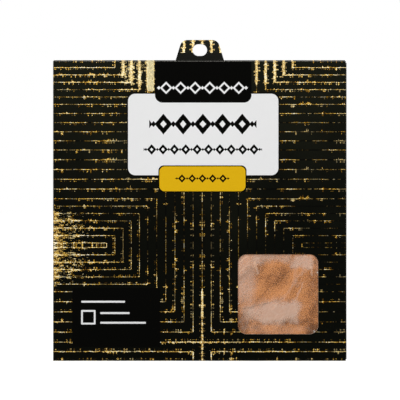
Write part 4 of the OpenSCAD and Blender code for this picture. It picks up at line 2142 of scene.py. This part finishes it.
@dataclass
class GlueWork:
    """The glue lines of the pocket and the low-tack dots that hold the flap."""

    glue: Material
    rings: tuple[float, ...] = (0.3, 0.55, 0.75, 0.88, 0.96, 1.0)
    turns: int = 48
    waves: tuple[float, float] = (0.02, 0.015)
    dome_power: int = 4
    seed_step: float = 1.7

    def dot(self, centre: Vector, radius: float, thick: float,
            seed: float) -> tuple[list[tuple], list[tuple]]:
        """One domed dot with a slightly uneven outline, flat against the flap.

        Args:
            centre: Middle of its flat side.
            radius: Its radius.
            thick: Its thickness.
            seed: Turns its outline.

        Returns:
            Its points and faces.
        """
        points = [tuple(centre - Vector((0.0, thick, 0.0)))]
        for share in self.rings:
            for i in range(self.turns):
                turn = 2 * math.pi * i / self.turns
                broad, narrow = self.waves
                wave = broad * math.sin(3 * turn + seed) + narrow * math.sin(5 * turn + 2 * seed)
                reach = radius * share * (1 - broad - narrow + wave)
                rise = thick * math.sqrt(max(0.0, 1 - share ** self.dome_power))
                points.append((centre.x + reach * math.cos(turn), centre.y - rise,
                               centre.z + reach * math.sin(turn)))
        faces = [(0, 1 + i, 1 + (i + 1) % self.turns) for i in range(self.turns)]
        for ring in range(len(self.rings) - 1):
            base = 1 + ring * self.turns
            for i in range(self.turns):
                j = (i + 1) % self.turns
                faces.append((base + i, base + self.turns + i, base + self.turns + j, base + j))
        last = 1 + (len(self.rings) - 1) * self.turns
        faces.append(tuple(last + i for i in range(self.turns)))
        return points, faces

    def build(self) -> None:
        """Builds the dots and dresses the glue lines."""
        low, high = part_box("flap_tack_dots")
        radius = (high.z - low.z) / 2
        points, faces = [], []
        for index, x in enumerate((low.x + radius, high.x - radius)):
            centre = Vector((x, high.y, (low.z + high.z) / 2))
            more, sides = self.dot(centre, radius, high.y - low.y, index * self.seed_step)
            faces += [tuple(i + len(points) for i in side) for side in sides]
            points += more
        mesh = bpy.data.meshes.new("domed_tack_dots")
        mesh.from_pydata(points, [], faces)
        mesh.materials.append(self.glue)
        piece = finished("domed_tack_dots", mesh)
        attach(piece, "closure_flap")
        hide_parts("flap_tack_dots")
        report(piece)
        for node in ("side_glue_line", "bottom_glue_line"):
            line = frame["nodes"][node]
            line.material_slots[0].material = self.glue
            LOG.info("%s: dressed", node)


@dataclass(frozen=True)
class Lamp:
    """A square lamp that looks at the pack. Its place is in metres and its power in watts."""

    name: str
    place: tuple[float, float, float]
    power: float
    side: float = 0.9


@dataclass
class Studio:
    """Camera, lamps, white surroundings and floor."""

    centre_x: float = 0.1
    centre_z: float = -79.16
    frame_w: float = 211.0
    lens: float = 100.0
    sensor: float = 36.0
    even_light: float = 0.68
    floor_drop: float = 0.02
    floor_reach: float = 6.0
    floor_grey: float = 0.55
    floor_glow: float = 0.72
    lamps: tuple[Lamp, ...] = (
        Lamp("key", (-0.45, -0.9, 0.55), 5.8),
        Lamp("fill", (0.6, -0.9, 0.1), 2.4),
        Lamp("back", (-0.35, 1.0, 0.35), 5.0),
    )

    def camera(self, sizes: PackSizes) -> None:
        """Places the camera square in front of the pack.

        Args:
            sizes: Sizes of the pack.
        """
        data = bpy.data.cameras.new("camera")
        data.lens, data.sensor_width = self.lens, self.sensor
        data.clip_start, data.clip_end = 0.01, 50.0
        eye = linked("camera", data)
        distance = self.frame_w * self.lens / self.sensor
        eye.location = (self.centre_x * MM, (sizes.front - distance) * MM, self.centre_z * MM)
        eye.rotation_euler = (math.pi / 2, 0.0, 0.0)
        bpy.context.scene.camera = eye

    def light(self, lamp: Lamp) -> None:
        """Adds one lamp.

        Args:
            lamp: The lamp.
        """
        data = bpy.data.lights.new(lamp.name, "AREA")
        data.shape, data.size, data.energy = "SQUARE", lamp.side, lamp.power
        source = linked(lamp.name, data)
        source.location = lamp.place
        aim = Vector((0.0, 0.0, self.centre_z * MM)) - source.location
        source.rotation_euler = aim.to_track_quat("-Z", "Y").to_euler()

    def surroundings(self) -> None:
        """White all round for the camera, metal and tissue, and a soft even light for the rest."""
        world = bpy.data.worlds.new("white studio")
        bpy.context.scene.world = world
        world.use_nodes = True
        tree = world.node_tree
        back = tree.nodes["Background"]
        back.inputs["Color"].default_value = (1.0, 1.0, 1.0, 1.0)
        join(tree, seen_ray(tree).swap(self.even_light, 1.0), back.inputs["Strength"])

    def floor(self, sizes: PackSizes) -> None:
        """Lays a plain white floor just under the pack.

        Args:
            sizes: Sizes of the pack.
        """
        mesh = bpy.data.meshes.new("floor")
        reach, height = self.floor_reach, (sizes.bottom - self.floor_drop) * MM
        corners = [(x * reach, y * reach, height) for x, y in ((-1, -1), (1, -1), (1, 1), (-1, 1))]
        mesh.from_pydata(corners, [], [(0, 1, 2, 3)])
        floor = linked("floor", mesh)
        material = bpy.data.materials.new("white floor")
        material.use_nodes = True
        tree = material.node_tree
        shader = tree.nodes["Principled BSDF"]
        grey = self.floor_grey
        shader.inputs["Base Color"].default_value = (grey, grey, grey, 1.0)
        shader.inputs["Roughness"].default_value = 0.9
        shader.inputs["Specular IOR Level"].default_value = 0.0
        glow = tree.nodes.new("ShaderNodeEmission")
        join(tree, seen_ray(tree) * self.floor_glow, glow.inputs["Strength"])
        both = tree.nodes.new("ShaderNodeAddShader")
        tree.links.new(shader.outputs[0], both.inputs[0])
        tree.links.new(glow.outputs[0], both.inputs[1])
        tree.links.new(both.outputs[0], tree.nodes["Material Output"].inputs["Surface"])
        mesh.materials.append(material)

    def build(self, sizes: PackSizes) -> None:
        """Sets up the whole studio.

        Args:
            sizes: Sizes of the pack.
        """
        bpy.context.scene.view_settings.view_transform = "Standard"
        self.camera(sizes)
        self.surroundings()
        for lamp in self.lamps:
            self.light(lamp)
        self.floor(sizes)


def main() -> None:
    """Builds every piece in order."""
    logging.basicConfig(level=logging.INFO, format="%(message)s")
    sizes = PackSizes.from_frame()
    Studio().build(sizes)
    card = PrintedCard()
    front, back, flap = (card.make(side) for side in (Side.FRONT, Side.BACK, Side.FLAP))
    bare = BareCard().make()
    Envelope(sizes, front, back, bare).build()
    tab = HangTab(sizes, front, bare)
    tab.build()
    closure = Closure(sizes, tab, flap, bare)
    closure.build_fold("printed_top_fold_left", "top_fold_left", -1)
    closure.build_fold("printed_top_fold_right", "top_fold_right", 1)
    closure.build_flap()
    Creases(sizes, bare).build_all(tab, closure)
    LeafStack(CopperLeaf().make(), TissuePaper().make()).build()
    WindowNicks(sizes, bare).build()
    GlueWork(Glue().make()).build()


if __name__ == "__main__":
    main()
